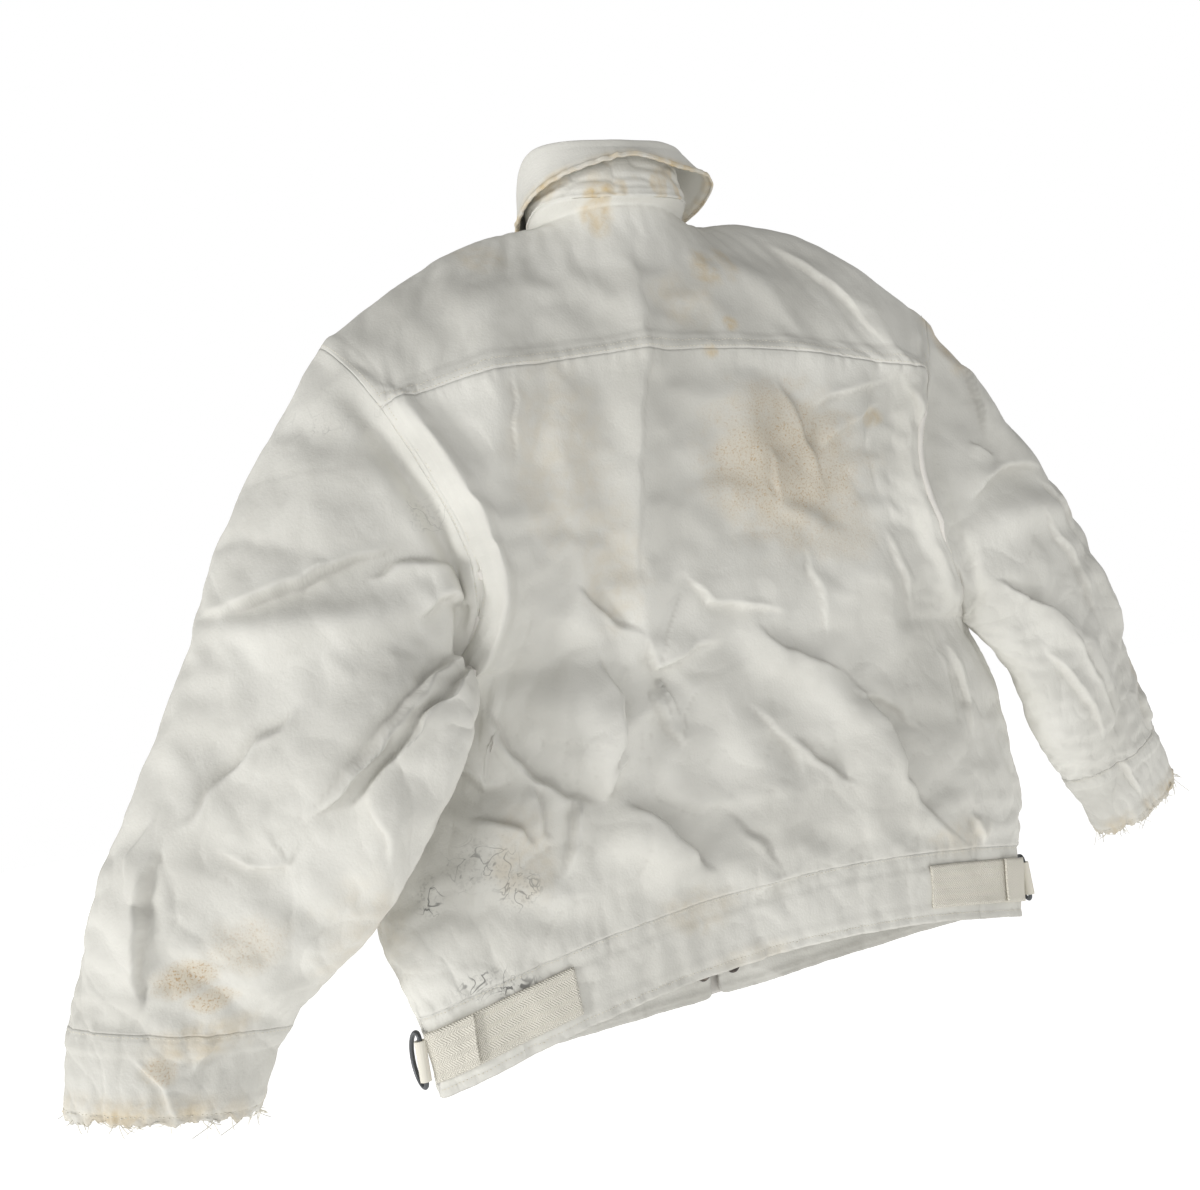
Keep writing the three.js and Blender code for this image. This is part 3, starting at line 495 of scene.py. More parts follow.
# %% [markdown]
# ## Wrinkles from a cloth simulation
# The cloth is told that it is a little larger than the shape that holds it, so it has to buckle, as washed
# cotton does over its padding. Weak pins keep it near the pattern. A noise texture would look the same
# everywhere, while simulated wrinkles run along the pulls.

# %% Simulate the cloth
SIM_FRAMES = 20
GROWTH = 0.021
BEND = 20
z, y = smooth_garment[:, 2], smooth_garment[:, 1]
pins = np.full(len(kept), 0.42)
pins = np.maximum(pins, 0.75 * (on["back_waistband"] | on["left_front_waistband"]
                                | on["right_front_waistband"]))
pins = np.maximum(pins, 0.6 * on["back_yoke"] * smooth(-120, -40, z))
pins = np.maximum(pins, 0.55 * (on["left_cuff"] | on["right_cuff"]))
NECK_LINE = neck_point(np.radians(np.arange(0, 360, 3)))
pins[distance_to(smooth_garment, NECK_LINE) < 3] = 1
pins[(y < -70) & (abs(smooth_garment[:, 0]) < 8)] = 1


def mesh_object(name, points, faces):
    mesh = bpy.data.meshes.new(name)
    mesh.from_pydata((np.asarray(points) * MM).tolist(), [], np.asarray(faces).tolist())
    made = bpy.data.objects.new(name, mesh)
    bpy.context.scene.collection.objects.link(made)
    return made


def soft_noise(points, size, height):
    """Smooth bumps about size mm across."""
    return height * np.array([noise.noise(p / size) for p in map(Vector, points)])


def simulate(points):
    start = points + way_out(points) * soft_noise(points, 38, 1.5)[:, None]
    cloth = mesh_object("cloth_simulation", start, quads)
    group = cloth.vertex_groups.new(name="pins")
    for w in np.unique(pins):
        group.add(np.flatnonzero(pins == w).tolist(), float(w), "REPLACE")
    modifier = cloth.modifiers.new("Cloth", "CLOTH")
    s = modifier.settings
    s.quality = 5
    s.mass = 0.15
    s.tension_stiffness = s.compression_stiffness = 25
    s.shear_stiffness = 12
    s.bending_stiffness = BEND
    s.tension_damping = s.compression_damping = s.shear_damping = 15
    s.air_damping = 4
    s.vertex_group_mass = "pins"
    s.pin_stiffness = 1.0
    s.shrink_min = -GROWTH
    modifier.collision_settings.use_collision = False
    modifier.point_cache.frame_start, modifier.point_cache.frame_end = 1, SIM_FRAMES
    scene = bpy.context.scene
    for frame_number in range(1, SIM_FRAMES + 1):
        scene.frame_set(frame_number)
    shape = cloth.evaluated_get(bpy.context.evaluated_depsgraph_get()).to_mesh()
    result = np.zeros(len(points) * 3, np.float32)
    shape.vertices.foreach_get("co", result)
    bpy.data.objects.remove(cloth)
    return result.reshape(-1, 3).astype(float) / MM


wrinkled = simulate(folded)
moved = np.linalg.norm(wrinkled - folded, axis=1)
print("simulated: moved", moved.mean().round(2), "mm on average, at most", moved.max().round(1))

# %% [markdown]
# ## A finer mesh that remembers its panels
# Subdivision rounds the simulated cloth and gives enough points for creases and seams. Each face keeps the
# number of its panel as a material index, so that the panels can be cut apart again at the end.

# %% Subdivide the garment
LEVELS = 2
coarse = mesh_object("garment", wrinkled, quads)
face_panel = np.concatenate([np.full(len(panel_quads[k]), n) for n, k in enumerate(order)])
for k in order:
    coarse.data.materials.append(bpy.data.materials.new(f"panel {k}"))
coarse.data.polygons.foreach_set("material_index", face_panel.astype(np.int32))
rest_place = coarse.data.attributes.new("rest_place", "FLOAT_VECTOR", "POINT")
rest_place.data.foreach_set("vector", smooth_garment.astype(np.float32).ravel())
rounding = coarse.modifiers.new("Subdivision", "SUBSURF")
rounding.levels = rounding.render_levels = LEVELS
fine_mesh = bpy.data.meshes.new_from_object(coarse.evaluated_get(bpy.context.evaluated_depsgraph_get()))
bpy.data.objects.remove(coarse)


def read(data, name, width, kind=np.float32):
    values = np.zeros(len(data) * width, kind)
    data.foreach_get(name, values)
    return values.reshape(-1, width) if width > 1 else values


fine = read(fine_mesh.vertices, "co", 3).astype(float) / MM
fine_rest = read(fine_mesh.attributes["rest_place"].data, "vector", 3).astype(float)
fine_faces = read(fine_mesh.loops, "vertex_index", 1, np.int32).reshape(-1, 4)
fine_panel = read(fine_mesh.polygons, "material_index", 1, np.int32)
bpy.data.meshes.remove(fine_mesh)
within = {}
for n, k in enumerate(order):
    within[k] = np.zeros(len(fine), bool)
    within[k][fine_faces[fine_panel == n].ravel()] = True
print("fine garment:", len(fine), "points,", len(fine_faces), "faces")


def fine_out(points):
    a, b, c, d = (points[fine_faces[:, k]] for k in range(4))
    square = np.cross(c - a, d - b)
    total = np.zeros_like(points)
    for k in range(4):
        for axis in range(3):
            total[:, axis] += np.bincount(fine_faces[:, k], square[:, axis], len(points))
    return unit(total)


# %% [markdown]
# ## Sharp creases
# Where cotton has been folded hard it keeps a crease: the cloth swells up slowly on one side and drops at
# once on the other, which draws a thin dark line. Each crease is a path, a height, how far the swell
# reaches, and the side that stands up.

# %% Press in the creases
CREASE_EDGE = 1.7       # mm over which the cloth drops
CREASE_WANDER = 4
CREASE_STRENGTH, CREASE_REACH = 2.2, 1.5


def crease(points, path, height, reach, side):
    wander = CREASE_WANDER * np.array([noise.noise(Vector(p) / 22) for p in points])
    away, share = along_path(points, path)
    away = (away + wander) * side
    high = np.exp(-np.maximum(away, 0) / (CREASE_REACH * reach))
    low = -0.45 * np.exp(np.minimum(away, 0) / (0.6 * CREASE_REACH * reach))
    step = 0.5 + 0.5 * np.tanh(away / CREASE_EDGE)
    shape = CREASE_STRENGTH * height * mix(low, high, step)
    return shape * smooth(-0.02, 0.3, share) * smooth(1.02, 0.55, share)


BODY_CREASES = [
    ([(8, -30), (20, -145), (48, -245), (64, -330), (64, -390)], 1.3, 20, -1),
    ([(68, -395), (62, -430), (30, -418), (-12, -414)], 4.5, 13, 1),
    ([(20, -345), (3, -378), (-85, -397)], 3.5, 16, 1),
    ([(128, -345), (95, -380), (62, -402)], 2.6, 14, -1),
    ([(68, -440), (60, -480), (48, -496), (36, -490)], 3.5, 10, 1),
    ([(112, -405), (104, -450), (112, -490), (128, -520)], 6, 18, -1),
    ([(212, -425), (206, -462), (190, -492), (160, -520), (128, -532)], 5.5, 16, -1),
    ([(128, -532), (112, -505), (98, -500)], 3.5, 10, 1),
    ([(112, -530), (86, -560), (58, -590), (32, -616)], 6.5, 20, -1),
    ([(150, -515), (158, -545), (178, -590)], 5, 12, 1),
    ([(188, -500), (184, -545), (176, -556)], 4.5, 10, -1),
    ([(-60, -508), (-86, -536), (-124, -568)], 4, 13, -1),
    ([(-40, -402), (-66, -430), (-100, -446), (-134, -462)], 3.5, 12, -1),
    ([(-122, -450), (-146, -482), (-160, -512), (-176, -566), (-206, -616), (-252, -656)], 4, 14, -1),
    ([(-262, -450), (-274, -515), (-268, -560)], 3.5, 12, 1), ([(-252, -620), (-262, -658)], 4, 8, 1),
    ([(-138, -210), (-242, -188)], 3, 13, 1), ([(-142, -250), (-222, -210)], 3, 12, 1),
    ([(-108, -172), (-130, -245), (-148, -300)], 2, 12, -1), ([(-84, -245), (-86, -305)], 1.8, 10, 1),
    ([(-108, -335), (-116, -390), (-121, -436)], 2, 12, 1),
    ([(-150, -32), (-182, -62), (-216, -102), (-240, -160)], 2.6, 18, 1),
    ([(-244, -180), (-256, -240), (-262, -315), (-277, -360), (-280, -430)], 5, 16, 1),
    ([(232, -440), (250, -470), (225, -500), (205, -498)], 5, 12, 1),
    ([(245, -520), (205, -536), (192, -560)], 4, 12, -1),
    ([(-20, -470), (-60, -520), (-66, -560)], 2.2, 12, 1),
    ([(20, -560), (-16, -600), (-30, -630)], 2.6, 12, -1),
    ([(-200, -330), (-215, -400), (-222, -440)], 2.2, 14, 1), ([(150, -150), (165, -260)], 1.6, 16, 1),
    ([(-130, -480), (-180, -500), (-215, -540)], 2.4, 12, 1), ([(5, -640), (-60, -630)], 2.5, 9, 1),
]
LEFT_CREASES = [
    ([(432, -328), (405, -326), (350, -312), (300, -300), (262, -296)], 5, 18, 1),
    ([(300, -318), (262, -308), (220, -316)], 4, 12, -1), ([(268, -356), (235, -340), (210, -352)], 5, 12, 1),
    ([(206, -376), (262, -400), (330, -452), (390, -500)], 6, 15, 1),
    ([(214, -392), (285, -436), (350, -500)], 5, 13, 1),
    ([(362, -408), (400, -430), (436, -458), (472, -486)], 5, 18, 1),
    ([(472, -486), (486, -508), (500, -555), (508, -618)], 5, 14, -1),
    ([(300, -432), (352, -480), (384, -494)], 4, 12, -1),
    ([(440, -500), (420, -520), (392, -524), (380, -508)], 3, 9, 1), ([(330, -480), (322, -540)], 2.2, 12, 1),
    ([(480, -470), (500, -500), (505, -530)], 2, 9, 1), ([(250, -180), (225, -230), (212, -270)], 3.5, 12, 1),
    ([(520, -640), (500, -670), (492, -700)], 3, 10, 1), ([(455, -640), (480, -668)], 2.4, 9, -1),
]
RIGHT_CREASES = [
    ([(-302, -322), (-330, -300), (-372, -288), (-436, -292)], 4.5, 15, 1),
    ([(-314, -398), (-362, -425), (-410, -466)], 4.5, 13, -1),
    ([(-540, -545), (-546, -562), (-560, -596)], 4, 9, 1),
    ([(-338, -165), (-352, -215), (-350, -262)], 3, 10, 1),
    ([(-395, -330), (-440, -400), (-470, -480)], 3, 11, 1),
    ([(-450, -350), (-500, -440), (-540, -510)], 2.8, 10, -1),
    ([(-360, -470), (-420, -545), (-450, -590)], 3.2, 10, 1),
    ([(-390, -450), (-450, -540), (-480, -600)], 2.8, 9, -1), ([(-480, -610), (-520, -660)], 3, 9, 1),
    ([(-320, -260), (-355, -275)], 3, 9, -1), ([(-410, -300), (-450, -330), (-470, -370)], 2.5, 10, 1),
]

square_out = fine_out(fine)
back_face = smooth(-0.25, 0.2, square_out[:, 1])
fine_left = within["left_sleeve"] | within["left_cuff"]
fine_right = within["right_sleeve"] | within["right_cuff"]
fine_body = ~(fine_left | fine_right)
rise = np.zeros(len(fine))
REACH_OUT = 70
for creases, mask in ((BODY_CREASES, fine_body), (LEFT_CREASES, fine_left), (RIGHT_CREASES, fine_right)):
    for path, height, reach, side in creases:
        low, high = np.min(path, axis=0) - REACH_OUT, np.max(path, axis=0) + REACH_OUT
        near = mask & (back_face > 0) & (fine[:, 0] > low[0]) & (fine[:, 0] < high[0])
        near &= (fine[:, 2] > low[1]) & (fine[:, 2] < high[1])
        rise[near] += crease(fine[near], path, height, reach, side)
rise *= back_face
SEAM_CALM = 14          # mm beside an armhole in which creases and crumples fade out
in_body = np.any([within[k] for k in order if "sleeve" not in k and "cuff" not in k], axis=0)
on_armhole = (fine_left | fine_right) & in_body
calm = np.ones(len(fine))
near_armhole = np.flatnonzero((abs(fine[:, 0]) > 190) & (fine[:, 2] > -500))
calm[near_armhole] = smooth(0, SEAM_CALM, distance_to(fine[near_armhole], fine[on_armhole]))
rise *= calm
print("creases:", len(BODY_CREASES) + len(LEFT_CREASES) + len(RIGHT_CREASES))

# %% [markdown]
# ## Crumpled cotton
# Washed canvas is never smooth. Ridged noise, folded over at zero, gives small sharp valleys. It is
# strongest at the waistband, the cuffs and the lower sleeves, where the jacket is bent most, and faint on
# the upper back.

# %% Crumple the surface
RIDGES = [(60, 2.6), (26, 1.2), (12, 0.5)]     # size across and height, in mm
worn = 0.3 + 0.6 * smooth(-300, -540, fine[:, 2])
worn = np.maximum(worn, 0.95 * (within["left_cuff"] | within["right_cuff"]))
worn = np.maximum(worn, 0.85 * (within["back_waistband"] | within["left_front_waistband"]
                                | within["right_front_waistband"]))
worn = np.maximum(worn, 0.85 * fine_right * smooth(-200, -400, fine[:, 2]))
for size, height in RIDGES:
    bumps = np.array([abs(noise.noise(Vector(p) / size)) for p in fine_rest * (1, 0.6, 0.75)])
    rise += calm * worn * height * (1.6 * np.sqrt(bumps) - 0.8)

# %% [markdown]
# ## Seams
# A seam is more than a line: one panel laps the other, rows of stitches press grooves into it, and the
# cloth puckers between the stitches. Every seam is a chain of the garment's own points, so it follows every
# fold.

# %% Lap, stitch and pucker the seams
def coarse_chain(ids):
    return wrinkled[np.asarray(ids)]


def dense(points, step=1.5):
    lengths = np.concatenate([[0], np.cumsum(np.linalg.norm(np.diff(points, axis=0), axis=1))])
    at = np.arange(0, lengths[-1], step)
    return np.stack([np.interp(at, lengths, points[:, k]) for k in range(3)], -1), at


ARMPIT_ROW = 5 * FINE
BAND_PANELS = ("back_waistband", "left_front_waistband", "right_front_waistband")
# name, chain, panels that lap over, how far the lap stands up, stitch rows at mm from the seam, pucker height
SEAMS = [
    ("yoke_seam", index_of["back_panel"][0], ("back_yoke",), 1.6, (2.5, 10), 1.3),
    ("waist_seam", index_of["back_waistband"][0], ("back_waistband",), -1.4, (3,), 1.3),
    ("back_hem", index_of["back_waistband"][-1], ("back_waistband",), 0.9, (7,), 1.2),
    ("left_side_seam", index_of["back_panel"][ARMPIT_ROW:, -1], ("back_panel",), 1.0, (3,), 0.7),
    ("right_side_seam", index_of["back_panel"][ARMPIT_ROW:, 0], ("back_panel",), 1.0, (3,), 0.7),
]
for name in SIDES:
    sleeve, cuff = index_of[f"{name}_sleeve"], index_of[f"{name}_cuff"]
    body = ("back_panel", "back_yoke", f"{name}_front_panel")
    SEAMS += [
        (f"{name}_armhole", sleeve[0], body, 0.9, (3,), 0.5),
        (f"{name}_cuff_seam", sleeve[-1], (f"{name}_cuff",), 1.3, (2.5,), 1.1),
        (f"{name}_cuff_hem", cuff[-1], (f"{name}_cuff",), 0.8, (6,), 1.3),
        (f"{name}_front_waist_seam", index_of[f"{name}_front_waistband"][0], (f"{name}_front_waistband",),
         1.0, (3,), 1.0),
        (f"{name}_front_hem", index_of[f"{name}_front_waistband"][-1], (f"{name}_front_waistband",), 0.9,
         (7,), 1.2),
        (f"{name}_front_edge", index_of[f"{name}_front_panel"][:, 0][FINE * 2:], (f"{name}_front_panel",),
         0.8, (8,), 0.5),
    ]
LAP_WIDTH, LAP_FADE = 13, 6
GROOVE, GROOVE_WIDTH = 0.7, 1.6
SEAM_REACH = 30         # mm: beyond this a seam changes nothing
SAME_PLACE, FEWEST_SHARED = 5, 20   # points that two panels share lie this near, and a seam has this many
PUCKER_LENGTH, PUCKER_REACH = 6.5, 9
stitch_rows = []
for name, chain, over, lap, rows_at, pucker in SEAMS:
    line, at = dense(coarse_chain(chain))
    near = KDTree(len(line))
    for i, p in enumerate(line):
        near.insert(p, i)
    near.balance()
    low, high = line.min(axis=0) - SEAM_REACH, line.max(axis=0) + SEAM_REACH
    close = np.flatnonzero(((fine > low) & (fine < high)).all(axis=1))
    found = [near.find(p)[1:] for p in fine[close]]
    where, away = np.array([at[i] for i, _ in found]), np.array([d for _, d in found])
    shared = sum(within[k].astype(int) for k in order)[close]
    exact = np.any([within[k][close] for k in over], axis=0) & (shared > 1) & (away < SAME_PLACE)
    if exact.sum() > FEWEST_SHARED:
        away = distance_to(fine[close], fine[close][exact])
    keep = away < SEAM_REACH
    close, where, away = close[keep], where[keep], away[keep]
    over_it = np.any([within[k][close] for k in over], axis=0)
    side_away = np.where(over_it, away, -away)
    shape = lap * smooth(-0.3, 0.8, side_away) * smooth(LAP_WIDTH + LAP_FADE, LAP_WIDTH, side_away)
    for row_at in rows_at:
        shape -= GROOVE * np.exp(-(((side_away - row_at) / GROOVE_WIDTH) ** 2)) * over_it
    seed = sum(map(ord, name)) % 97
    waves = np.array([noise.noise(Vector((w / PUCKER_LENGTH, seed, d / 30))) for w, d in zip(where, away)])
    shape += pucker * 1.6 * waves * np.exp(-away / PUCKER_REACH) * (0.35 + np.minimum(away / 3, 0.65))
    rise[close] += shape
    stitch_rows.append((name, line, over, rows_at))
final = fine + square_out * rise[:, None]


def neighbour_mean(values):
    """The mean of each point's neighbours across the faces round it."""
    total, count = np.zeros_like(values), np.zeros(len(values))
    for k in range(4):
        for step in (1, 2, 3):
            for axis in range(3):
                total[:, axis] += np.bincount(fine_faces[:, k], values[fine_faces[:, (k + step) % 4], axis],
                                              len(values))
            count += np.bincount(fine_faces[:, k], minlength=len(values))
    return total / count[:, None]


ARMHOLE_EASING, EASED_WIDTH = 10, 11     # rounds of smoothing beside the armholes, and how wide, in mm
easing = np.zeros(len(final))
easing[near_armhole] = 0.7 * smooth(EASED_WIDTH, 3, distance_to(fine[near_armhole], fine[on_armhole]))
for _ in range(ARMHOLE_EASING):
    final += (neighbour_mean(final) - final) * easing[:, None]
print("seams:", len(SEAMS), "| detail lifts", rise.min().round(1), "to", rise.max().round(1), "mm")

# %% [markdown]
# ## Frayed hems
# The cuffs have worn through at their hems. The last rows of points are pulled down by uneven amounts,
# which tears the edge, and loose threads are added later.

# %% Fray the cuff hems
FRAY_DEPTH, FRAY_HEIGHT = 5, 9
for name in SIDES:
    hem = coarse_chain(index_of[f"{name}_cuff"][-1])
    cuff = np.flatnonzero(within[f"{name}_cuff"])
    away = distance_to(fine[cuff], dense(hem)[0])
    torn = np.array([noise.noise(Vector(p) / 7) + 0.5 * noise.noise(Vector(p) / 2.5) for p in fine[cuff]])
    final[cuff, 2] += FRAY_DEPTH * torn * smooth(FRAY_HEIGHT, 0, away)
    final[cuff] += square_out[cuff] * (1.2 * torn * smooth(FRAY_HEIGHT, 2, away))[:, None]

# %% [markdown]
# ## Marks of wear and painted shade
# Stains belong to the cloth, so they are stored on its points and read by the material. Each one is a spot
# on the back view with a soft, uneven edge. Painting them by hand in texture paint would work too, but a
# list can be edited.

# %% Place the stains
STAINS_AND_SHADE = {  # kind: (left, up, radius across, radius down, strength), in mm
    "brown": [(-104, -262, 84, 74, 0.85), (-140, -262, 40, 40, 0.3), (-330, -150, 22, 20, 0.6),
              (-150, -330, 40, 30, 0.35),
              (475, -592, 24, 13, 1.0), (458, -612, 18, 9, 0.9), (430, -575, 30, 20, 0.45),
              (500, -655, 14, 12, 0.7)],
    "tan": [(33, -12, 13, 24, 1.0), (-62, -68, 16, 22, 0.8), (-88, -62, 10, 20, 0.6), (-72, -125, 9, 8, 1.1),
            (-45, -152, 8, 7, 1.2), (-30, -100, 34, 30, 0.3), (-208, -226, 12, 10, 0.8),
            (-330, -120, 24, 26, 0.6),
            (-345, -170, 20, 22, 0.5), (145, -38, 26, 20, 0.35), (120, -240, 50, 90, 0.28),
            (90, -330, 30, 60, 0.3),
            (205, -560, 30, 40, 0.35), (-480, -330, 26, 22, 0.5), (-560, -520, 24, 30, 0.35),
            (340, -600, 40, 60, 0.25),
            (470, -640, 40, 16, 0.55), (60, -640, 40, 20, 0.3), (-230, -640, 40, 20, 0.25),
            (10, -690, 40, 12, 0.3)],
    "soot": [(250, -655, 26, 12, 0.9), (230, -662, 22, 8, 1.0), (282, -578, 12, 16, 0.9),
             (236, -560, 34, 24, 0.55),
             (214, -585, 18, 20, 0.6), (246, -268, 22, 16, 0.5), (312, -186, 10, 9, 0.5),
             (300, -180, 50, 30, 0.1)],
    # grime_and_shade: broad grey patches, partly real grime and partly painted shade that greys the yoke and
    # the sleeves
    "grime_and_shade": [(180, -60, 90, 50, 0.45), (-190, -100, 90, 60, 0.4), (330, -280, 80, 110, 0.45),
              (430, -450, 60, 80, 0.35),
              (150, -110, 80, 40, 0.5), (-120, -120, 120, 60, 0.3), (430, -610, 60, 60, 0.45),
              (380, -650, 60, 30, 0.3),
              (-380, -230, 50, 80, 0.4), (-470, -420, 60, 80, 0.4), (250, -600, 60, 60, 0.3),
              (90, -120, 60, 60, 0.3)],
}


def marks_at(points, facing):
    ragged = np.array([noise.noise(Vector(p) / 18) + 0.5 * noise.noise(Vector(p) / 7) for p in points])
    marks = {}
    for kind, spots in STAINS_AND_SHADE.items():
        mask = np.zeros(len(points))
        for left, up, wide, tall, strength in spots:
            away = np.hypot((points[:, 0] - left) / wide, (points[:, 2] - up) / tall)
            mask = np.maximum(mask, strength * smooth(1.25, 0.45, away + 0.28 * ragged))
        marks[kind] = mask * facing
    return marks


marks = marks_at(fine_rest, smooth(-0.2, 0.1, square_out[:, 1]))
for name in SIDES:
    hem = dense(smooth_garment[index_of[f"{name}_cuff"][-1]])[0]
    cuff = np.flatnonzero(within[f"{name}_cuff"])
    edge = smooth(26, 2, distance_to(fine_rest[cuff], hem))
    patchy = np.array([noise.noise(Vector(p) / 25) for p in fine_rest[cuff]])
    marks["tan"][cuff] = np.maximum(marks["tan"][cuff], edge * np.clip(0.75 + patchy, 0, 1.1))
print("stains:", {k: int((m > 0.1).sum()) for k, m in marks.items()}, "points each")

# %% [markdown]
# ## Materials
# Every look is made from noise and constants, so that there is nothing to load. The canvas reads the marks,
# mixes colours one over the other, and has a faint weave as bump.

# %% Make the materials
def node(tree, kind, settings=None, **inputs):
    """A shader node. An input is named, or is n and its number; it gets a constant or a link."""
    made = tree.nodes.new("ShaderNode" + kind)
    for key, value in (settings or {}).items():
        setattr(made, key, value)
    for key, value in inputs.items():
        numbered = key[0] == "n" and key[1:].isdigit()
        socket = made.inputs[int(key[1:]) if numbered else key.replace("_", " ")]
        if isinstance(value, bpy.types.NodeSocket):
            tree.links.new(value, socket)
        else:
            socket.default_value = value
    return made


def material(name, colour, rough, metallic=0.0):
    made = bpy.data.materials.new(name)
    made.use_nodes = True
    shader = made.node_tree.nodes["Principled BSDF"]
    shader.inputs["Base Color"].default_value = (*colour, 1)
    shader.inputs["Roughness"].default_value = rough
    shader.inputs["Metallic"].default_value = metallic
    shader.inputs["Specular IOR Level"].default_value = 0.5 if metallic else 0.15
    return made, made.node_tree, shader


def mixed(tree, factor, under, over):
    made = node(tree, "Mix", {"data_type": "RGBA"}, n0=factor, n6=under, n7=over)
    return made.outputs[2]


def times(tree, a, b):
    return node(tree, "Math", {"operation": "MULTIPLY"}, n0=a, n1=b).outputs[0]


def between(tree, value, low, high):
    made = node(tree, "MapRange", None, Value=value, From_Min=low, From_Max=high)
    return made.outputs[0]


def noise_of(tree, place, scale, detail=3.0, distortion=0.0):
    return node(tree, "TexNoise", None, Vector=place, Scale=scale, Detail=detail,
                Distortion=distortion).outputs[0]


def bumped(tree, shader, height, depth, strength=1.0):
    made = node(tree, "Bump", None, Height=height, Distance=depth, Strength=strength)
    tree.links.new(made.outputs[0], shader.inputs["Normal"])


CLEAN, DULL = (0.69, 0.68, 0.63, 1), (0.56, 0.55, 0.505, 1)
INK = {"grime_and_shade": (0.42, 0.41, 0.37, 1), "tan": (0.55, 0.41, 0.20, 1), "brown": (0.40, 0.25, 0.11, 1),
       "soot": (0.05, 0.05, 0.05, 1)}
canvas, tree, shader = material("canvas", CLEAN[:3], 0.9)
place = node(tree, "Attribute", {"attribute_name": "place"}).outputs["Vector"]
colour = mixed(tree, between(tree, noise_of(tree, place, 7.0, 4.0), 0.38, 0.66), CLEAN, DULL)
PATCHY = {"grime_and_shade": (60.0, 0.3, 0.7, 0.55), "tan": (90.0, 0.25, 0.65, 0.6), "brown": (620.0, 0.52, 0.68, 0.75),
          "soot": (330.0, 0.52, 0.64, 0.8)}
for kind, (scale, low, high, most) in PATCHY.items():
    mask = node(tree, "Attribute", {"attribute_name": kind}).outputs["Fac"]
    patches = between(tree, noise_of(tree, place, scale, 4.0, 0.4), low, high)
    if kind == "soot":      # smudges and thin scribbles: a line runs wherever the noise crosses its middle
        middle_line = node(tree, "Math", {"operation": "SUBTRACT"},
                           n0=noise_of(tree, place, 48.0, 2.0, 1.2), n1=0.5)
        apart = node(tree, "Math", {"operation": "ABSOLUTE"}, n0=middle_line.outputs[0]).outputs[0]
        lines = between(tree, apart, 0.022, 0.006)
        patches = node(tree, "Math", {"operation": "MAXIMUM"}, n0=times(tree, patches, 0.35),
                       n1=lines).outputs[0]
    if kind == "brown":
        colour = mixed(tree, times(tree, mask, 0.28), colour, INK["tan"])
    colour = mixed(tree, times(tree, times(tree, mask, patches), most), colour, INK[kind])
# painted shade: the canvas is darkened in creases and hollows, read from the crease_shade attribute
crease_shade = node(tree, "Attribute", {"attribute_name": "crease_shade"}).outputs["Fac"]
colour = mixed(tree, times(tree, crease_shade, 0.2), colour, (0.36, 0.34, 0.30, 1))
tree.links.new(colour, shader.inputs["Base Color"])
bumped(tree, shader, noise_of(tree, place, 420.0, 3.0), 0.0005, 0.6)

lining, tree, shader = material("lining", (0.62, 0.60, 0.56), 0.55)
place = node(tree, "TexCoord").outputs["Object"]
bumped(tree, shader, noise_of(tree, place, 60.0, 2.0), 0.002, 0.4)

thread, tree, shader = material("thread", (0.66, 0.63, 0.54), 0.8)
place = node(tree, "TexCoord").outputs["Object"]
bumped(tree, shader, noise_of(tree, place, 900.0, 1.0), 0.0002, 0.5)

webbing, tree, shader = material("webbing", (0.74, 0.70, 0.60), 0.85)
strap_place = node(tree, "Attribute", {"attribute_name": "strap"}).outputs["Vector"]
parts = node(tree, "SeparateXYZ", None, Vector=strap_place)
HERRING, RIB = 0.0048, 2 * math.pi / 0.0024
zigzag = node(tree, "Math", {"operation": "PINGPONG"}, n0=parts.outputs[1], n1=HERRING).outputs[0]
along = node(tree, "Math", {"operation": "ADD"}, n0=parts.outputs[0], n1=zigzag).outputs[0]
rib = node(tree, "Math", {"operation": "SINE"}, n0=times(tree, along, RIB)).outputs[0]
tree.links.new(mixed(tree, between(tree, rib, -1.2, 0.6), (0.64, 0.61, 0.53, 1), (0.78, 0.75, 0.66, 1)),
               shader.inputs["Base Color"])
bumped(tree, shader, rib, 0.0004, 0.8)

ring_metal, tree, shader = material("ring_metal", (0.10, 0.105, 0.11), 0.42, 0.8)
place = node(tree, "TexCoord").outputs["Object"]
bumped(tree, shader, noise_of(tree, place, 250.0, 2.0), 0.0003, 0.3)
snap_metal, tree, shader = material("snap_metal", (0.07, 0.06, 0.055), 0.4, 0.75)
place = node(tree, "TexCoord").outputs["Object"]
worn_metal = mixed(tree, between(tree, noise_of(tree, place, 300.0, 3.0), 0.45, 0.7),
                   (0.07, 0.06, 0.055, 1), (0.20, 0.17, 0.14, 1))
tree.links.new(worn_metal, shader.inputs["Base Color"])
zip_tape, tree, shader = material("zip_tape", (0.52, 0.50, 0.45), 0.85)
place = node(tree, "TexCoord").outputs["Object"]
bumped(tree, shader, node(tree, "TexWave", {"bands_direction": "Z"}, Vector=place, Scale=260.0).outputs[1],
       0.0003, 0.5)
print("materials:", [m.name for m in (canvas, lining, thread, webbing, ring_metal, snap_metal, zip_tape)])

# %% [markdown]
# ## Cutting the garment into its panels
# Each panel becomes an object of its own, with a thickness added inwards, because the shape and its lifts
# are the outside of the cloth. The inner side shows the lining. The body's panels ride the root. A sleeve
# only has its transform applied, and its cuff rides the sleeve's own body.

# %% Make the panel objects
SHELL = 3.6     # mm: two layers of canvas with wadding
# painted shade: points that sit below their neighbours, in creases and hollows, are marked for darkening
sunk = ((neighbour_mean(final) - final) * square_out).sum(axis=1)
marks["crease_shade"] = smooth(0.12, 0.7, sunk)


def dress(obj, **attributes):
    for key, values in attributes.items():
        wide = values.ndim > 1
        layer = obj.data.attributes.new(key, "FLOAT_VECTOR" if wide else "FLOAT", "POINT")
        layer.data.foreach_set("vector" if wide else "value", values.astype(np.float32).ravel())


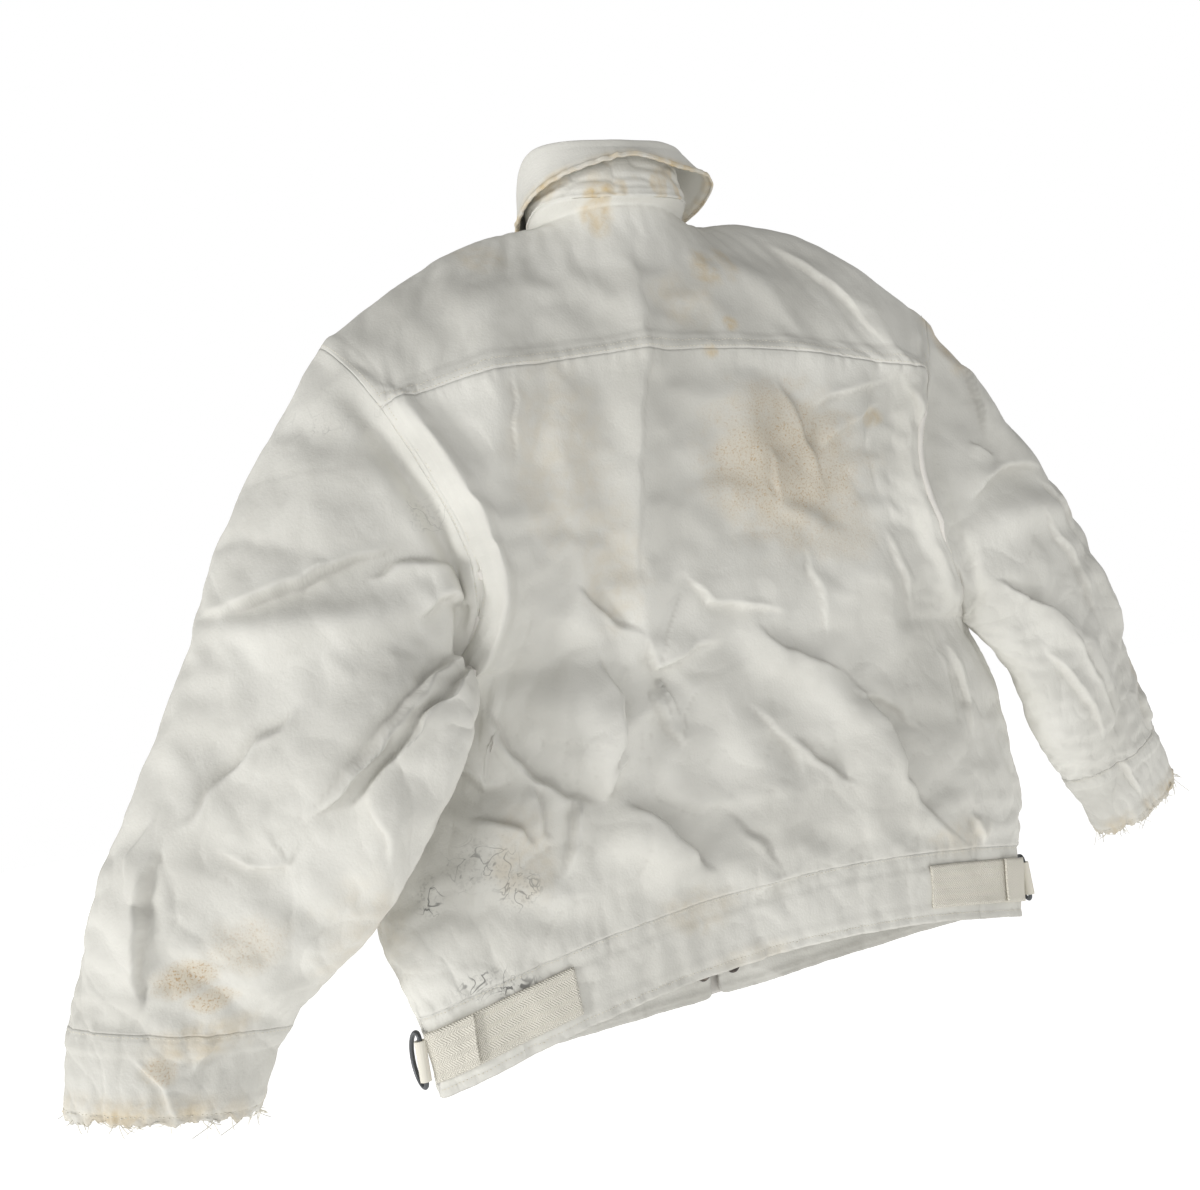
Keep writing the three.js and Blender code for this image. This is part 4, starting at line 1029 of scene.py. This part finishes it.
def cloth_object(name, points, outward, faces, thickness, looks, **attributes):
    """A closed piece whose thickness goes inwards. The second look, if there is one, is the inner side's."""
    points, faces, total = np.asarray(points), np.asarray(faces), len(points)
    edges = np.concatenate([faces[:, [k, (k + 1) % 4]] for k in range(4)])
    code, back = edges[:, 0] * total + edges[:, 1], edges[:, 1] * total + edges[:, 0]
    rim = edges[~np.isin(code, back)]
    walls = np.stack([rim[:, 1], rim[:, 0], rim[:, 0] + total, rim[:, 1] + total], -1)
    obj = mesh_object(name, np.concatenate([points, points - outward * thickness]),
                      np.concatenate([faces, faces[:, ::-1] + total, walls]))
    obj.data.shade_smooth()
    for look in looks:
        obj.data.materials.append(look)
    side = np.zeros(2 * len(faces) + len(walls), np.int32)
    side[len(faces):2 * len(faces)] = len(looks) - 1
    obj.data.polygons.foreach_set("material_index", side)
    dress(obj, **{key: np.concatenate([values, values]) for key, values in attributes.items()})
    return obj


def lengths_of(grid):
    """The mean length of the rows and of the columns of a grid, and its area, in metres."""
    across = np.linalg.norm(np.diff(grid, axis=1), axis=-1).sum(axis=1).max() * MM
    down = np.linalg.norm(np.diff(grid, axis=0), axis=-1).sum(axis=0).max() * MM
    square = np.linalg.norm(np.cross(grid[1:, 1:] - grid[:-1, :-1], grid[1:, :-1] - grid[:-1, 1:]), axis=-1)
    area = square.sum() / 2 * MM**2
    return across, down, min(area, across * down)


REPLACED = {"back_panel": ["back_panel"], "back_yoke": ["back_yoke"], "back_waistband": ["back_waistband"]}
for name in SIDES:
    REPLACED[f"{name}_front_panel"] = [f"{name}_front_panel"]
    REPLACED[f"{name}_front_waistband"] = [f"{name}_front_waistband"]
    REPLACED[f"{name}_sleeve"] = [f"{name}_top_sleeve", f"{name}_under_sleeve"]
    REPLACED[f"{name}_cuff"] = [f"{name}_cuff"]
BLEND_WAY = unit(vec(0.96, 0, -0.27))
for name, side in SIDES.items():
    centre = np.mean([armhole_point(side, t) for t in range(ARMHOLE_POINTS)], axis=0)
    way = BLEND_WAY * (side["sign"], 1, 1)


def attach(obj, part):
    """Sets which body a piece belongs to, from the panel it is sewn to. A sleeve gets no body; only its
    transform is applied.
    """
    name = part.split("_")[0]
    if part.endswith("_sleeve"):
        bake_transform(obj)
    elif part.endswith("_cuff"):
        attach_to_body(obj, f"{name}_sleeve")
    else:
        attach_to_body(obj, "root")


fine_way = fine_out(final)
for _ in range(3):      # softer directions, so that the inner side doesn't cross itself in a crease
    fine_way = unit(neighbour_mean(fine_way))
for n, k in enumerate(order):
    used, faces = np.unique(fine_faces[fine_panel == n], return_inverse=True)
    inside = canvas if k in BAND_PANELS or k.endswith("cuff") else lining
    obj = cloth_object(f"{k}_cloth", final[used], fine_way[used], faces.reshape(-1, 4), SHELL,
                       (canvas, inside),
                       place=fine_rest[used] * MM, **{kind: mask[used] for kind, mask in marks.items()})
    attach(obj, k)
    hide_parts(*REPLACED[k])
    across, down, area = lengths_of(grids[k])
print("panels:", len(order))

# %% [markdown]
# ## The lining
# The lining hangs loose inside the body, a few millimetres in, so it is made from the simulated cloth
# before the small detail was added.

# %% Make the linings
LINING_DEEP, LINING_THICK = 8.5, 1.2
LINING_SHORT = 26       # mm that it ends before an armhole, so that it stays behind the roll
clear_of_armholes = np.ones(len(kept), bool)
for line in armholes.values():
    clear_of_armholes &= distance_to(smooth_garment, line) > LINING_SHORT
lining_way = way_out(wrinkled)
inner_cloth = wrinkled - lining_way * LINING_DEEP
LININGS = {"back_lining": ("back_panel", "back_yoke"), "left_front_lining": ("left_front_panel",),
           "right_front_lining": ("right_front_panel",)}
for name, parts_in in LININGS.items():
    all_faces = np.concatenate([panel_quads[k] for k in parts_in])
    used, faces = np.unique(all_faces[clear_of_armholes[all_faces].all(axis=1)], return_inverse=True)
    obj = cloth_object(f"{name}_cloth", inner_cloth[used], lining_way[used], faces.reshape(-1, 4),
                       LINING_THICK,
                       (lining,))
    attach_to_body(obj, "root")
    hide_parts(name)
    sizes = [lengths_of(grids[k]) for k in parts_in]
    across, down, area = max(s[0] for s in sizes), sum(s[1] for s in sizes), sum(s[2] for s in sizes)
print("linings:", len(LININGS))

# %% [markdown]
# ## The collar
# The stand rises from the neck seam. The fall folds over it and flares out, and its edge is piped, with
# puckers where the stitching has drawn the cloth in.

# %% Make the collar
COLLAR_END = 8 / 6 * SHOULDER_SEAM_TURN
STAND_LEAN = 6
FALL_MIDDLE, FALL_SIDES = 0.3, 1.35     # how much of its height the fall hangs, at the back and at the sides
FALL_RIGHT = 0.62                       # the share of that on the wearer's right
FALL_KICK = 22                          # mm that its edge is pushed out on the wearer's right
FALL_PROFILE = [(-2, 3.4), (0.5, 7.5), (5, 8), (8.5, -2), (12, -FALL_HEIGHT / 2), (17, -FALL_HEIGHT)]
collar_turns = np.linspace(-COLLAR_END, COLLAR_END, 321)
MIDDLE_COLUMN, STAND_MIDDLE, FALL_OUTSIDE = 160, 12, 36     # a column and rows where the way out is known


def grid_faces(rows, columns):
    ids = np.arange(rows * columns).reshape(rows, columns)
    return np.stack([ids[:-1, :-1], ids[1:, :-1], ids[1:, 1:], ids[:-1, 1:]], -1).reshape(-1, 4)


def grid_out(g):
    return unit(np.cross(np.gradient(g, axis=1), np.gradient(g, axis=0)))


def grid_piece(name, g, out, thickness, looks, **attributes):
    """A cloth piece from a grid whose way out is known roughly at its middle."""
    faces = grid_faces(*g.shape[:2])
    a, b, c, d = g.reshape(-1, 3)[faces[len(faces) // 2]]
    outward = grid_out(g).reshape(-1, 3)
    if np.dot(np.cross(c - a, d - b), out) < 0:
        faces = faces[:, ::-1]
    if outward[faces[len(faces) // 2][0]] @ out < 0:
        outward = -outward
    flat = {k: v.reshape(-1, 3) if v.ndim > 2 else v.ravel() for k, v in attributes.items()}
    return cloth_object(name, g.reshape(-1, 3), outward, faces, thickness, looks, **flat)


def field(g, size, stretch=(1, 1, 1)):
    return np.array([noise.noise(Vector(p) / size) for p in g.reshape(-1, 3) * stretch]).reshape(g.shape[:2])


neck_arc = np.concatenate([[0], np.cumsum(np.linalg.norm(np.diff(neck_point(collar_turns), axis=0), axis=1))])
puckers = np.array([noise.noise(Vector((s / 6.5, 3, 0))) for s in neck_arc])
rows_v = np.linspace(0, 1, 24)
stand = np.array([neck_point(collar_turns, -STAND_LEAN * v, STAND_HEIGHT * v) for v in rows_v])
way = grid_out(stand) * np.sign(grid_out(stand)[0, MIDDLE_COLUMN, 1])
up_mm = (rows_v * STAND_HEIGHT)[:, None]
lifted = 2.2 * (1.6 * np.sqrt(abs(field(stand, 26, (0.7, 0.7, 2.2)))) - 0.8) * smooth(0, 8, up_mm)
lifted += 1.1 * puckers * np.exp(-up_mm / 8) - 0.8 * np.exp(-(((up_mm - 4) / 1.5) ** 2)) + 0.8
stand_marks = {k: np.zeros(stand.shape[:2]) for k in marks}
stand_marks["tan"] = 0.75 * smooth(0.0, 0.25, field(stand, 20)) * smooth(50, 15, up_mm) + 0.9 * np.exp(
    -(((collar_turns - 0.42) / 0.14) ** 2))[None, :] * smooth(34, 6, up_mm)
# painted shade under the fall together with patchy grime: the stand greys towards its top
stand_marks["grime_and_shade"] = 0.5 * smooth(-0.2, 0.4, field(stand, 14)) * smooth(10, 40, up_mm)
obj = grid_piece("collar_stand_cloth", stand + way * lifted[..., None], way[STAND_MIDDLE, MIDDLE_COLUMN],
                 3.0, (canvas, lining),
                 place=stand * MM, **stand_marks)
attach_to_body(obj, "root")
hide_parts("collar_stand")
across, down, area = lengths_of(stand)

rows_v = np.linspace(0, 1, 46)
fall = []
for v in rows_v:
    away, up = spline(FALL_PROFILE, v)
    deep = mix(FALL_MIDDLE, FALL_SIDES, smooth(-0.2, 1.6, abs(collar_turns))) if up < 0 else 1
    if up < 0:
        deep = deep * mix(1, FALL_RIGHT, smooth(0, -1.4, collar_turns))
    away = away + v**2 * FALL_KICK * smooth(-0.5, -1.4, collar_turns) * smooth(-2.2, -1.6, collar_turns)
    wave = 3.5 * v**2 * np.array([noise.noise(Vector((s / 55, 9, 0))) for s in neck_arc])
    fall.append(neck_point(collar_turns, away - STAND_LEAN + wave, STAND_HEIGHT + up * deep))
fall = np.array(fall)
way = grid_out(fall)
way *= np.sign(way[FALL_OUTSIDE, MIDDLE_COLUMN, 1])
from_edge = (np.linalg.norm(np.diff(fall, axis=0), axis=-1)[::-1].cumsum(axis=0))[::-1]
from_edge = np.concatenate([from_edge, np.zeros((1, len(collar_turns)))])
PIPING = 3.2
lifted = 1.9 * np.exp(-(((from_edge - PIPING) / 2.0) ** 2)) * (1 + 0.5 * puckers)
lifted += -1.1 * np.exp(-(((from_edge - 7.5) / 1.6) ** 2)) + 1.2 * puckers * np.exp(-from_edge / 9)
lifted += 0.9 * field(fall, 30) * smooth(6, 16, from_edge)
fall_marks = {k: np.zeros(fall.shape[:2]) for k in marks}
fall_marks["tan"] = 1.3 * smooth(15, 2, from_edge) * (0.75 + 0.7 * field(fall, 24))
fall_marks["grime_and_shade"] = 0.35 * smooth(22, 4, from_edge)
obj = grid_piece("collar_fall_cloth", fall + way * lifted[..., None], way[FALL_OUTSIDE, MIDDLE_COLUMN], 2.4,
                 (canvas,),
                 place=fall * MM, **fall_marks)
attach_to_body(obj, "root")
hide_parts("collar_fall")
across, down, area = lengths_of(fall)
print("collar rows:", len(stand), len(fall))

# %% [markdown]
# ## The adjuster webbing
# The straps are laid on the finished cloth: a ray from outside finds the surface under each point, and the
# strap bridges the small wrinkles, because webbing is stiffer than canvas. A second layer is folded back at
# the D-ring.

# %% Lay the straps on the waistband
STRAP_START, FOLD_START, STRAP_END, STRAP_THICK = 4 / 12, 0.62, 11 / 12, 2.2
STRAP_ROWS, STRAP_COLUMNS = 15, 90
RAY_START = 60          # mm outside the pattern, where the rays set off
band_edge = (WAISTBAND_HEIGHT - WEBBING_WIDTH) / 2 / WAISTBAND_HEIGHT
surface = BVHTree.FromPolygons(final.tolist(), fine_faces.tolist())


def bridged(g, rounds):
    """The way out at each point of a grid, and how high the cloth stands there, with its hollows bridged."""
    out = unit((g - (0.8 * g[..., :1] * (1, 0, 0) + g * (0, 0, 1))) * (1, 1, 0))
    height = np.zeros(g.shape[:2])
    for index in np.ndindex(*height.shape):
        start = g[index] + out[index] * RAY_START
        hit = surface.ray_cast(Vector(start), Vector(-out[index]))[0]
        height[index] = RAY_START - (Vector(start) - hit).length if hit else 0
    for _ in range(rounds):
        wide = np.pad(height, 2, mode="edge")
        height = np.maximum(height, (wide[:-4, 2:-2] + wide[4:, 2:-2] + wide[2:-2, :-4] + wide[2:-2, 4:]) / 4)
    return out, height


def strap(name, side, first, last, lift, curl=0.0):
    shares = np.linspace(first, last, STRAP_COLUMNS)
    rows_at = np.linspace(band_edge, 1 - band_edge, STRAP_ROWS)
    g = np.array([band_row(side, False, v, shares) for v in rows_at])
    out, height = bridged(g, 6)
    curled = curl * np.linspace(1, 0, len(shares)) ** 6
    g = g + out * (height + lift + STRAP_THICK + 0.4 + curled[None, :] + 0.5 * field(g, 18))[..., None]
    run = np.concatenate([[0], np.cumsum(np.linalg.norm(np.diff(g[STRAP_ROWS // 2], axis=0), axis=1))])
    pattern = np.stack([np.broadcast_to(run, g.shape[:2]),
                        np.broadcast_to((rows_at * WAISTBAND_HEIGHT)[:, None], g.shape[:2]),
                        np.zeros(g.shape[:2])], -1) * MM
    obj = grid_piece(name, g, out[STRAP_ROWS // 2, STRAP_COLUMNS // 2], STRAP_THICK, (webbing,),
                     strap=pattern)
    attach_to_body(obj, "root")
    return obj, lengths_of(g)


for name, side in SIDES.items():
    obj, (across, down, area) = strap(f"{name}_webbing_strap", side, STRAP_START, STRAP_END, 0)
    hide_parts(f"{name}_webbing")
    obj, (across, down, area) = strap(f"{name}_webbing_fold", side, FOLD_START, STRAP_END,
                                      STRAP_THICK + 0.4, 4)
print("straps:", 2 * len(SIDES))

# %% [markdown]
# ## Hand pockets
# A patch pocket lies on the front just as the webbing lies on the waistband, so it is made in the same way.
# Its hem is stitched, and its mouth slopes.

# %% Sew on the pockets
POCKET_TOP, POCKET_FOOT, POCKET_INNER, POCKET_OUTER = 13 / 18, 17 / 18, 1 / 3, 2 / 3
POCKET_THICK, MOUTH_SLOPE = 1.8, 0.05
POCKET_ROWS, POCKET_COLUMNS, POCKET_CELL = 80, 70, 1.7
for name, side in SIDES.items():
    shares = np.linspace(POCKET_INNER, POCKET_OUTER, POCKET_COLUMNS)
    slope = MOUTH_SLOPE * np.linspace(0, 1, len(shares))
    g = np.array([[front_row(side, mix(POCKET_TOP + lean, POCKET_FOOT, v), np.array([share]))[0]
                   for share, lean in zip(shares, slope)] for v in np.linspace(0, 1, POCKET_ROWS)])
    out, height = bridged(g, 3)
    from_top, from_side = np.arange(POCKET_ROWS)[:, None], np.arange(POCKET_COLUMNS)[None, :]
    rim = np.minimum(from_top, POCKET_ROWS - 1 - from_top)
    rim = np.minimum(rim, np.minimum(from_side, POCKET_COLUMNS - 1 - from_side)) * POCKET_CELL
    swollen = 1.2 * smooth(0, 30, rim) + 0.8 * field(g, 30) * smooth(0, 10, rim)
    swollen -= 0.6 * np.exp(-(((rim - 7) / 1.8) ** 2))
    g = g + out * (height + POCKET_THICK + 0.3 + swollen)[..., None]
    none = {k: np.zeros(g.shape[:2]) for k in marks}
    obj = grid_piece(f"{name}_pocket_cloth", g, out[POCKET_ROWS // 2, POCKET_COLUMNS // 2], POCKET_THICK,
                     (canvas,), place=g * MM, **none)
    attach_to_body(obj, "root")
    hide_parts(f"{name}_pocket")
    across, down, area = lengths_of(g)
print("pockets:", len(SIDES))

# %% [markdown]
# ## Storm flap, zip and metal parts
# The flap is a long strip of the same canvas. The snaps are turned shapes: a profile spun about an axis,
# which Blender's Screw modifier does as well. The D-rings keep the frame's own shape, rounded by
# subdivision.

# %% Make the flap and the hardware
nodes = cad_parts
low, high = (np.array(c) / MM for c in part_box("storm_flap"))
flap_x, flap_z = np.linspace(low[0], high[0], 31), np.linspace(high[2], low[2], 260)
flap_grid = np.stack([np.broadcast_to(flap_x, (260, 31)), np.full((260, 31), low[1]),
                      np.broadcast_to(flap_z[:, None], (260, 31))], -1)
edge = np.minimum(flap_grid[..., 0] - low[0], high[0] - flap_grid[..., 0])
sag = 1.4 * field(flap_grid, 24, (1, 1, 0.6)) * smooth(0, 8, edge) - 0.5 * np.exp(-(((edge - 6) / 1.5) ** 2))
flap_grid[..., 1] -= 0.4 + abs(sag) * 0.8
flap_marks = {k: np.zeros(flap_grid.shape[:2]) for k in marks}
obj = grid_piece("storm_flap_cloth", flap_grid, vec(0, -1, 0), 2.6, (canvas, lining), place=flap_grid * MM,
                 **flap_marks)
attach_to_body(obj, "front_flap")
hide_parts("storm_flap")
across, down, area = lengths_of(flap_grid)


def turned(name, at, profile, look, body, replaced=None):
    """A shape turned about Y: profile is a list of (radius, height towards the wearer's front)."""
    steps = 40
    angles = np.arange(steps) * 2 * math.pi / steps
    points = [(r * math.cos(a), -h, r * math.sin(a)) for r, h in profile for a in angles]
    faces = [(i * steps + j, i * steps + (j + 1) % steps, (i + 1) * steps + (j + 1) % steps,
              (i + 1) * steps + j)
             for i in range(len(profile) - 1) for j in range(steps)]
    obj = mesh_object(name, np.array(points) + at, faces)
    obj.data.shade_smooth()
    obj.data.materials.append(look)
    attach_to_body(obj, body)
    if replaced:
        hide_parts(replaced)
    return obj


SNAP_COUNT = 7
SNAP_BODIES = {"snap_cap": "front_flap", "snap_socket": "front_flap", "snap_stud": "root"}
PROFILES = {
    "snap_cap": [(0.01, 1.5), (3.4, 1.5), (4.2, 2.1), (5.6, 2.6), (6.8, 2.2), (7.5, 1.2), (7.5, 0.2),
                 (0.01, 0)],
    "snap_socket": [(0.01, 0.3), (1.6, 0.4), (2.0, 1.6), (4.6, 1.9), (5.5, 1.2), (5.5, 0.1), (0.01, 0)],
    "snap_stud": [(0.01, 2.0), (1.3, 2.0), (1.8, 1.2), (4.6, 1.0), (5.5, 0.5), (5.5, -0.1), (1.6, -0.2),
                  (1.6, -5.2),
                  (7.2, -5.2), (7.4, -6.0), (5.6, -6.9), (4.2, -6.2), (2.6, -6.0), (0.01, -6.0)],
}
for kind, body in SNAP_BODIES.items():
    for number in range(1, SNAP_COUNT + 1):
        low, high = (np.array(c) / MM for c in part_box(f"{kind}_{number}"))
        at = ((low + high) / 2) * (1, 0, 1) + (0, high[1], 0)
        turned(f"{kind}_{number}_metal", at, PROFILES[kind], snap_metal, body, f"{kind}_{number}")
hem = coarse_chain(index_of["left_cuff"][-1])
hem_spot = hem[np.argmin(np.linalg.norm(hem - vec(500, -30, -700), axis=1))]
turned("left_cuff_snap_metal", hem_spot + (0, -3, 1), PROFILES["snap_cap"], snap_metal, "left_sleeve")
for name in nodes:
    obj = nodes[name]
    if name.endswith("d_ring"):
        obj.modifiers.new("Weld", "WELD").merge_threshold = 1e-5
        rounding = obj.modifiers.new("Subdivision", "SUBSURF")
        rounding.levels = rounding.render_levels = 2
    looks = {"d_ring": ring_metal, "ring_loop": webbing, "hang_loop": webbing, "zip_tape": zip_tape,
             "zip_slider": ring_metal, "zip_pull": ring_metal, "flap_root": canvas, "pocket": canvas}
    for ending, look in looks.items():
        if name.endswith(ending):
            obj.data.materials.clear()
            obj.data.materials.append(look)
            obj.data.shade_smooth()
            if ending != "d_ring":
                soft = obj.modifiers.new("Bevel", "BEVEL")
                soft.width, soft.segments, soft.limit_method = 0.0006, 2, "ANGLE"
                obj.modifiers.new("Normals", "WEIGHTED_NORMAL")
print("snap parts:", len(SNAP_BODIES) * SNAP_COUNT)

# %% [markdown]
# ## Stitches
# Each stitch is a tiny bead of thread laid on the cloth. Its place comes from the seam's line: step along
# it, step sideways into the panel that laps over, and drop onto the nearest surface.

# %% Sew the stitches
STITCH_LENGTH, STITCH_PITCH, STITCH_WIDE, STITCH_HIGH = 2.5, 3.4, 0.75, 0.45
BEAD = np.array([(-1, 0, -0.3), (-0.6, -1, 0), (-0.6, 1, 0), (0.6, -1, 0), (0.6, 1, 0), (1, 0, -0.3),
                 (0, 0, 1)]) * (
    STITCH_LENGTH / 2, STITCH_WIDE / 2, STITCH_HIGH)
BEAD_FACES = np.array([(0, 1, 6), (1, 3, 6), (3, 5, 6), (5, 4, 6), (4, 2, 6), (2, 0, 6)])
trees = {}


def tree_over(over):
    if over not in trees:
        ids = [n for n, k in enumerate(order) if k in over]
        trees[over] = BVHTree.FromPolygons(final.tolist(), fine_faces[np.isin(fine_panel, ids)].tolist())
    return trees[over]


def sew(name, line, over, row_at, part):
    tree_here = tree_over(tuple(over))
    lengths = np.concatenate([[0], np.cumsum(np.linalg.norm(np.diff(line, axis=0), axis=1))])
    spots = []
    for s in np.arange(STITCH_PITCH, lengths[-1] - STITCH_PITCH, STITCH_PITCH):
        p, q = (np.array([np.interp(t, lengths, line[:, k]) for k in range(3)]) for t in (s, s + 1))
        on_cloth, square, _, _ = tree_here.find_nearest(Vector(p))
        if on_cloth is None:
            continue
        along = unit(q - p)
        across = unit(np.cross(np.array(square), along))
        best = None
        for sign in (1, -1):
            spot, up, _, gap = tree_here.find_nearest(Vector(p + sign * across * row_at))
            if best is None or gap < best[2]:
                best = (np.array(spot), np.array(up), gap)
        spots.append((best[0], along, best[1]))
    points, faces = [], []
    for spot, along, up in spots:
        across = unit(np.cross(up, along))
        up = np.cross(along, across)
        faces.append(BEAD_FACES + len(points) * len(BEAD))
        points.append(spot + BEAD @ np.array([along, across, up]))
    obj = mesh_object(name, np.concatenate(points), np.concatenate(faces))
    obj.data.materials.append(thread)
    attach(obj, part)
    return len(spots)


total = 0
for name, line, over, rows_at in stitch_rows:
    for number, row_at in enumerate(rows_at, 1):
        total += sew(f"{name}_stitches_{number}", line, over, row_at, over[0])
print("stitches:", total)

# %% [markdown]
# ## Loose threads at the cuffs
# A frayed edge sheds threads. Each is a thin bent tube that starts at the hem and hangs or curls away.

# %% Hang the loose threads
THREADS, THREAD_THICK, THREAD_LONG = 90, 0.35, 11
random = np.random.default_rng(4)
for name in SIDES:
    hem = final[np.flatnonzero(within[f"{name}_cuff"])]
    line = dense(coarse_chain(index_of[f"{name}_cuff"][-1]))[0]
    near = KDTree(len(hem))
    for i, p in enumerate(hem):
        near.insert(p, i)
    near.balance()
    points, faces = [], []
    for at in random.integers(0, len(line), THREADS):
        start = np.array(near.find(line[at])[0])
        way = unit(random.normal(0, 1, 3) * (1, 1, 0.4) - (0, 0, 1.1))
        bend = random.normal(0, 0.6, 3)
        reach = THREAD_LONG * random.uniform(0.3, 1)
        steps = np.linspace(0, 1, 6)[:, None]
        path = start + reach * (way * steps + bend * steps**2 * 0.6)
        across = unit(np.cross(way, (0.3, 1, 0.2)))
        deep = np.cross(way, across)
        base = len(points) * 18
        ring = np.array([across, -0.5 * across + 0.87 * deep, -0.5 * across - 0.87 * deep]) * THREAD_THICK
        points.append((path[:, None] + ring[None]).reshape(-1, 3))
        faces += [(base + 3 * i + j, base + 3 * i + (j + 1) % 3, base + 3 * i + 3 + (j + 1) % 3,
                   base + 3 * i + 3 + j)
                  for i in range(5) for j in range(3)]
    obj = mesh_object(f"{name}_cuff_threads", np.concatenate(points), faces)
    obj.data.materials.append(thread)
    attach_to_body(obj, f"{name}_sleeve")
print("threads:", 2 * THREADS)

# %% [markdown]
# ## Stage, lights and camera
# A white floor and a white world give soft light from everywhere, and one large lamp at the viewer's left
# draws the folds. The world shows pure white to the camera but lights the scene less, so that the canvas
# isn't washed out.

# %% Set the stage
FLOOR_DROP = 0.12
low, high = (np.array(c) for c in (cad_low, cad_high))
middle = Vector((low + high) / 2)
floor_at = low[2] - FLOOR_DROP
HALF_FLOOR = 6
floor = mesh_object("floor", np.array([(x * HALF_FLOOR, y * HALF_FLOOR, floor_at) for x, y in
                                       ((-1, -1), (1, -1), (1, 1), (-1, 1))]) / MM, [(0, 1, 2, 3)])
white, tree, shader = material("white_floor", (0.9, 0.9, 0.9), 0.9)
place = node(tree, "TexCoord").outputs["Object"]
tree.links.new(mixed(tree, noise_of(tree, place, 0.4), (0.88, 0.88, 0.88, 1), (0.92, 0.92, 0.92, 1)),
               shader.inputs["Base Color"])
shader.inputs["Emission Color"].default_value = (1, 1, 1, 1)
shader.inputs["Emission Strength"].default_value = 0.8
floor.data.materials.append(white)

SKY_LIGHT, GROUND_LIGHT = 0.36, 0.58
world = bpy.data.worlds.new("white")
bpy.context.scene.world = world
world.use_nodes = True
tree = world.node_tree
background = tree.nodes["Background"]
background.inputs[0].default_value = (1, 1, 1, 1)
seen = tree.nodes.new("ShaderNodeLightPath").outputs["Is Camera Ray"]
direction = node(tree, "SeparateXYZ", None, Vector=tree.nodes.new("ShaderNodeTexCoord").outputs["Generated"])
level = node(tree, "MapRange", None, Value=direction.outputs[2], From_Min=-0.4, From_Max=0.7,
             To_Min=GROUND_LIGHT, To_Max=SKY_LIGHT).outputs[0]
tree.links.new(node(tree, "MapRange", None, Value=seen, To_Min=level, To_Max=1.0).outputs[0],
               background.inputs[1])

camera_data = bpy.data.cameras.new("camera")
camera_data.sensor_width, camera_data.lens = 36, 34.66
camera = bpy.data.objects.new("camera", camera_data)
bpy.context.scene.collection.objects.link(camera)
CAMERA_RIGHT = (-0.91126, 0.37232, -0.17601)
CAMERA_UP = (-0.13427, 0.13543, 0.98165)
CAMERA_BACK = (0.38932, 0.91817, -0.07342)
CAMERA_AT = (0.48906, 0.96921, -0.42999)
camera.matrix_world = Matrix([(CAMERA_RIGHT[i], CAMERA_UP[i], CAMERA_BACK[i], CAMERA_AT[i]) for i in range(3)]
                             + [(0, 0, 0, 1)])
bpy.context.scene.camera = camera


def lamp(name, across, up, back, size, power):
    """A soft square lamp, placed from the middle of the object in the camera's directions."""
    data = bpy.data.lights.new(name, "AREA")
    data.size, data.energy = size, power
    made = bpy.data.objects.new(name, data)
    bpy.context.scene.collection.objects.link(made)
    sideways, upwards = across * Vector(CAMERA_RIGHT), up * Vector(CAMERA_UP)
    made.location = middle + sideways + upwards + back * Vector(CAMERA_BACK)
    made.rotation_euler = (middle - made.location).to_track_quat("-Z", "Y").to_euler()


lamp("key", -3.3, -0.2, 2.3, 0.8, 66)
lamp("fill", 1.2, -0.3, 2.2, 1.6, 5)
bpy.context.scene.view_settings.view_transform = "Standard"
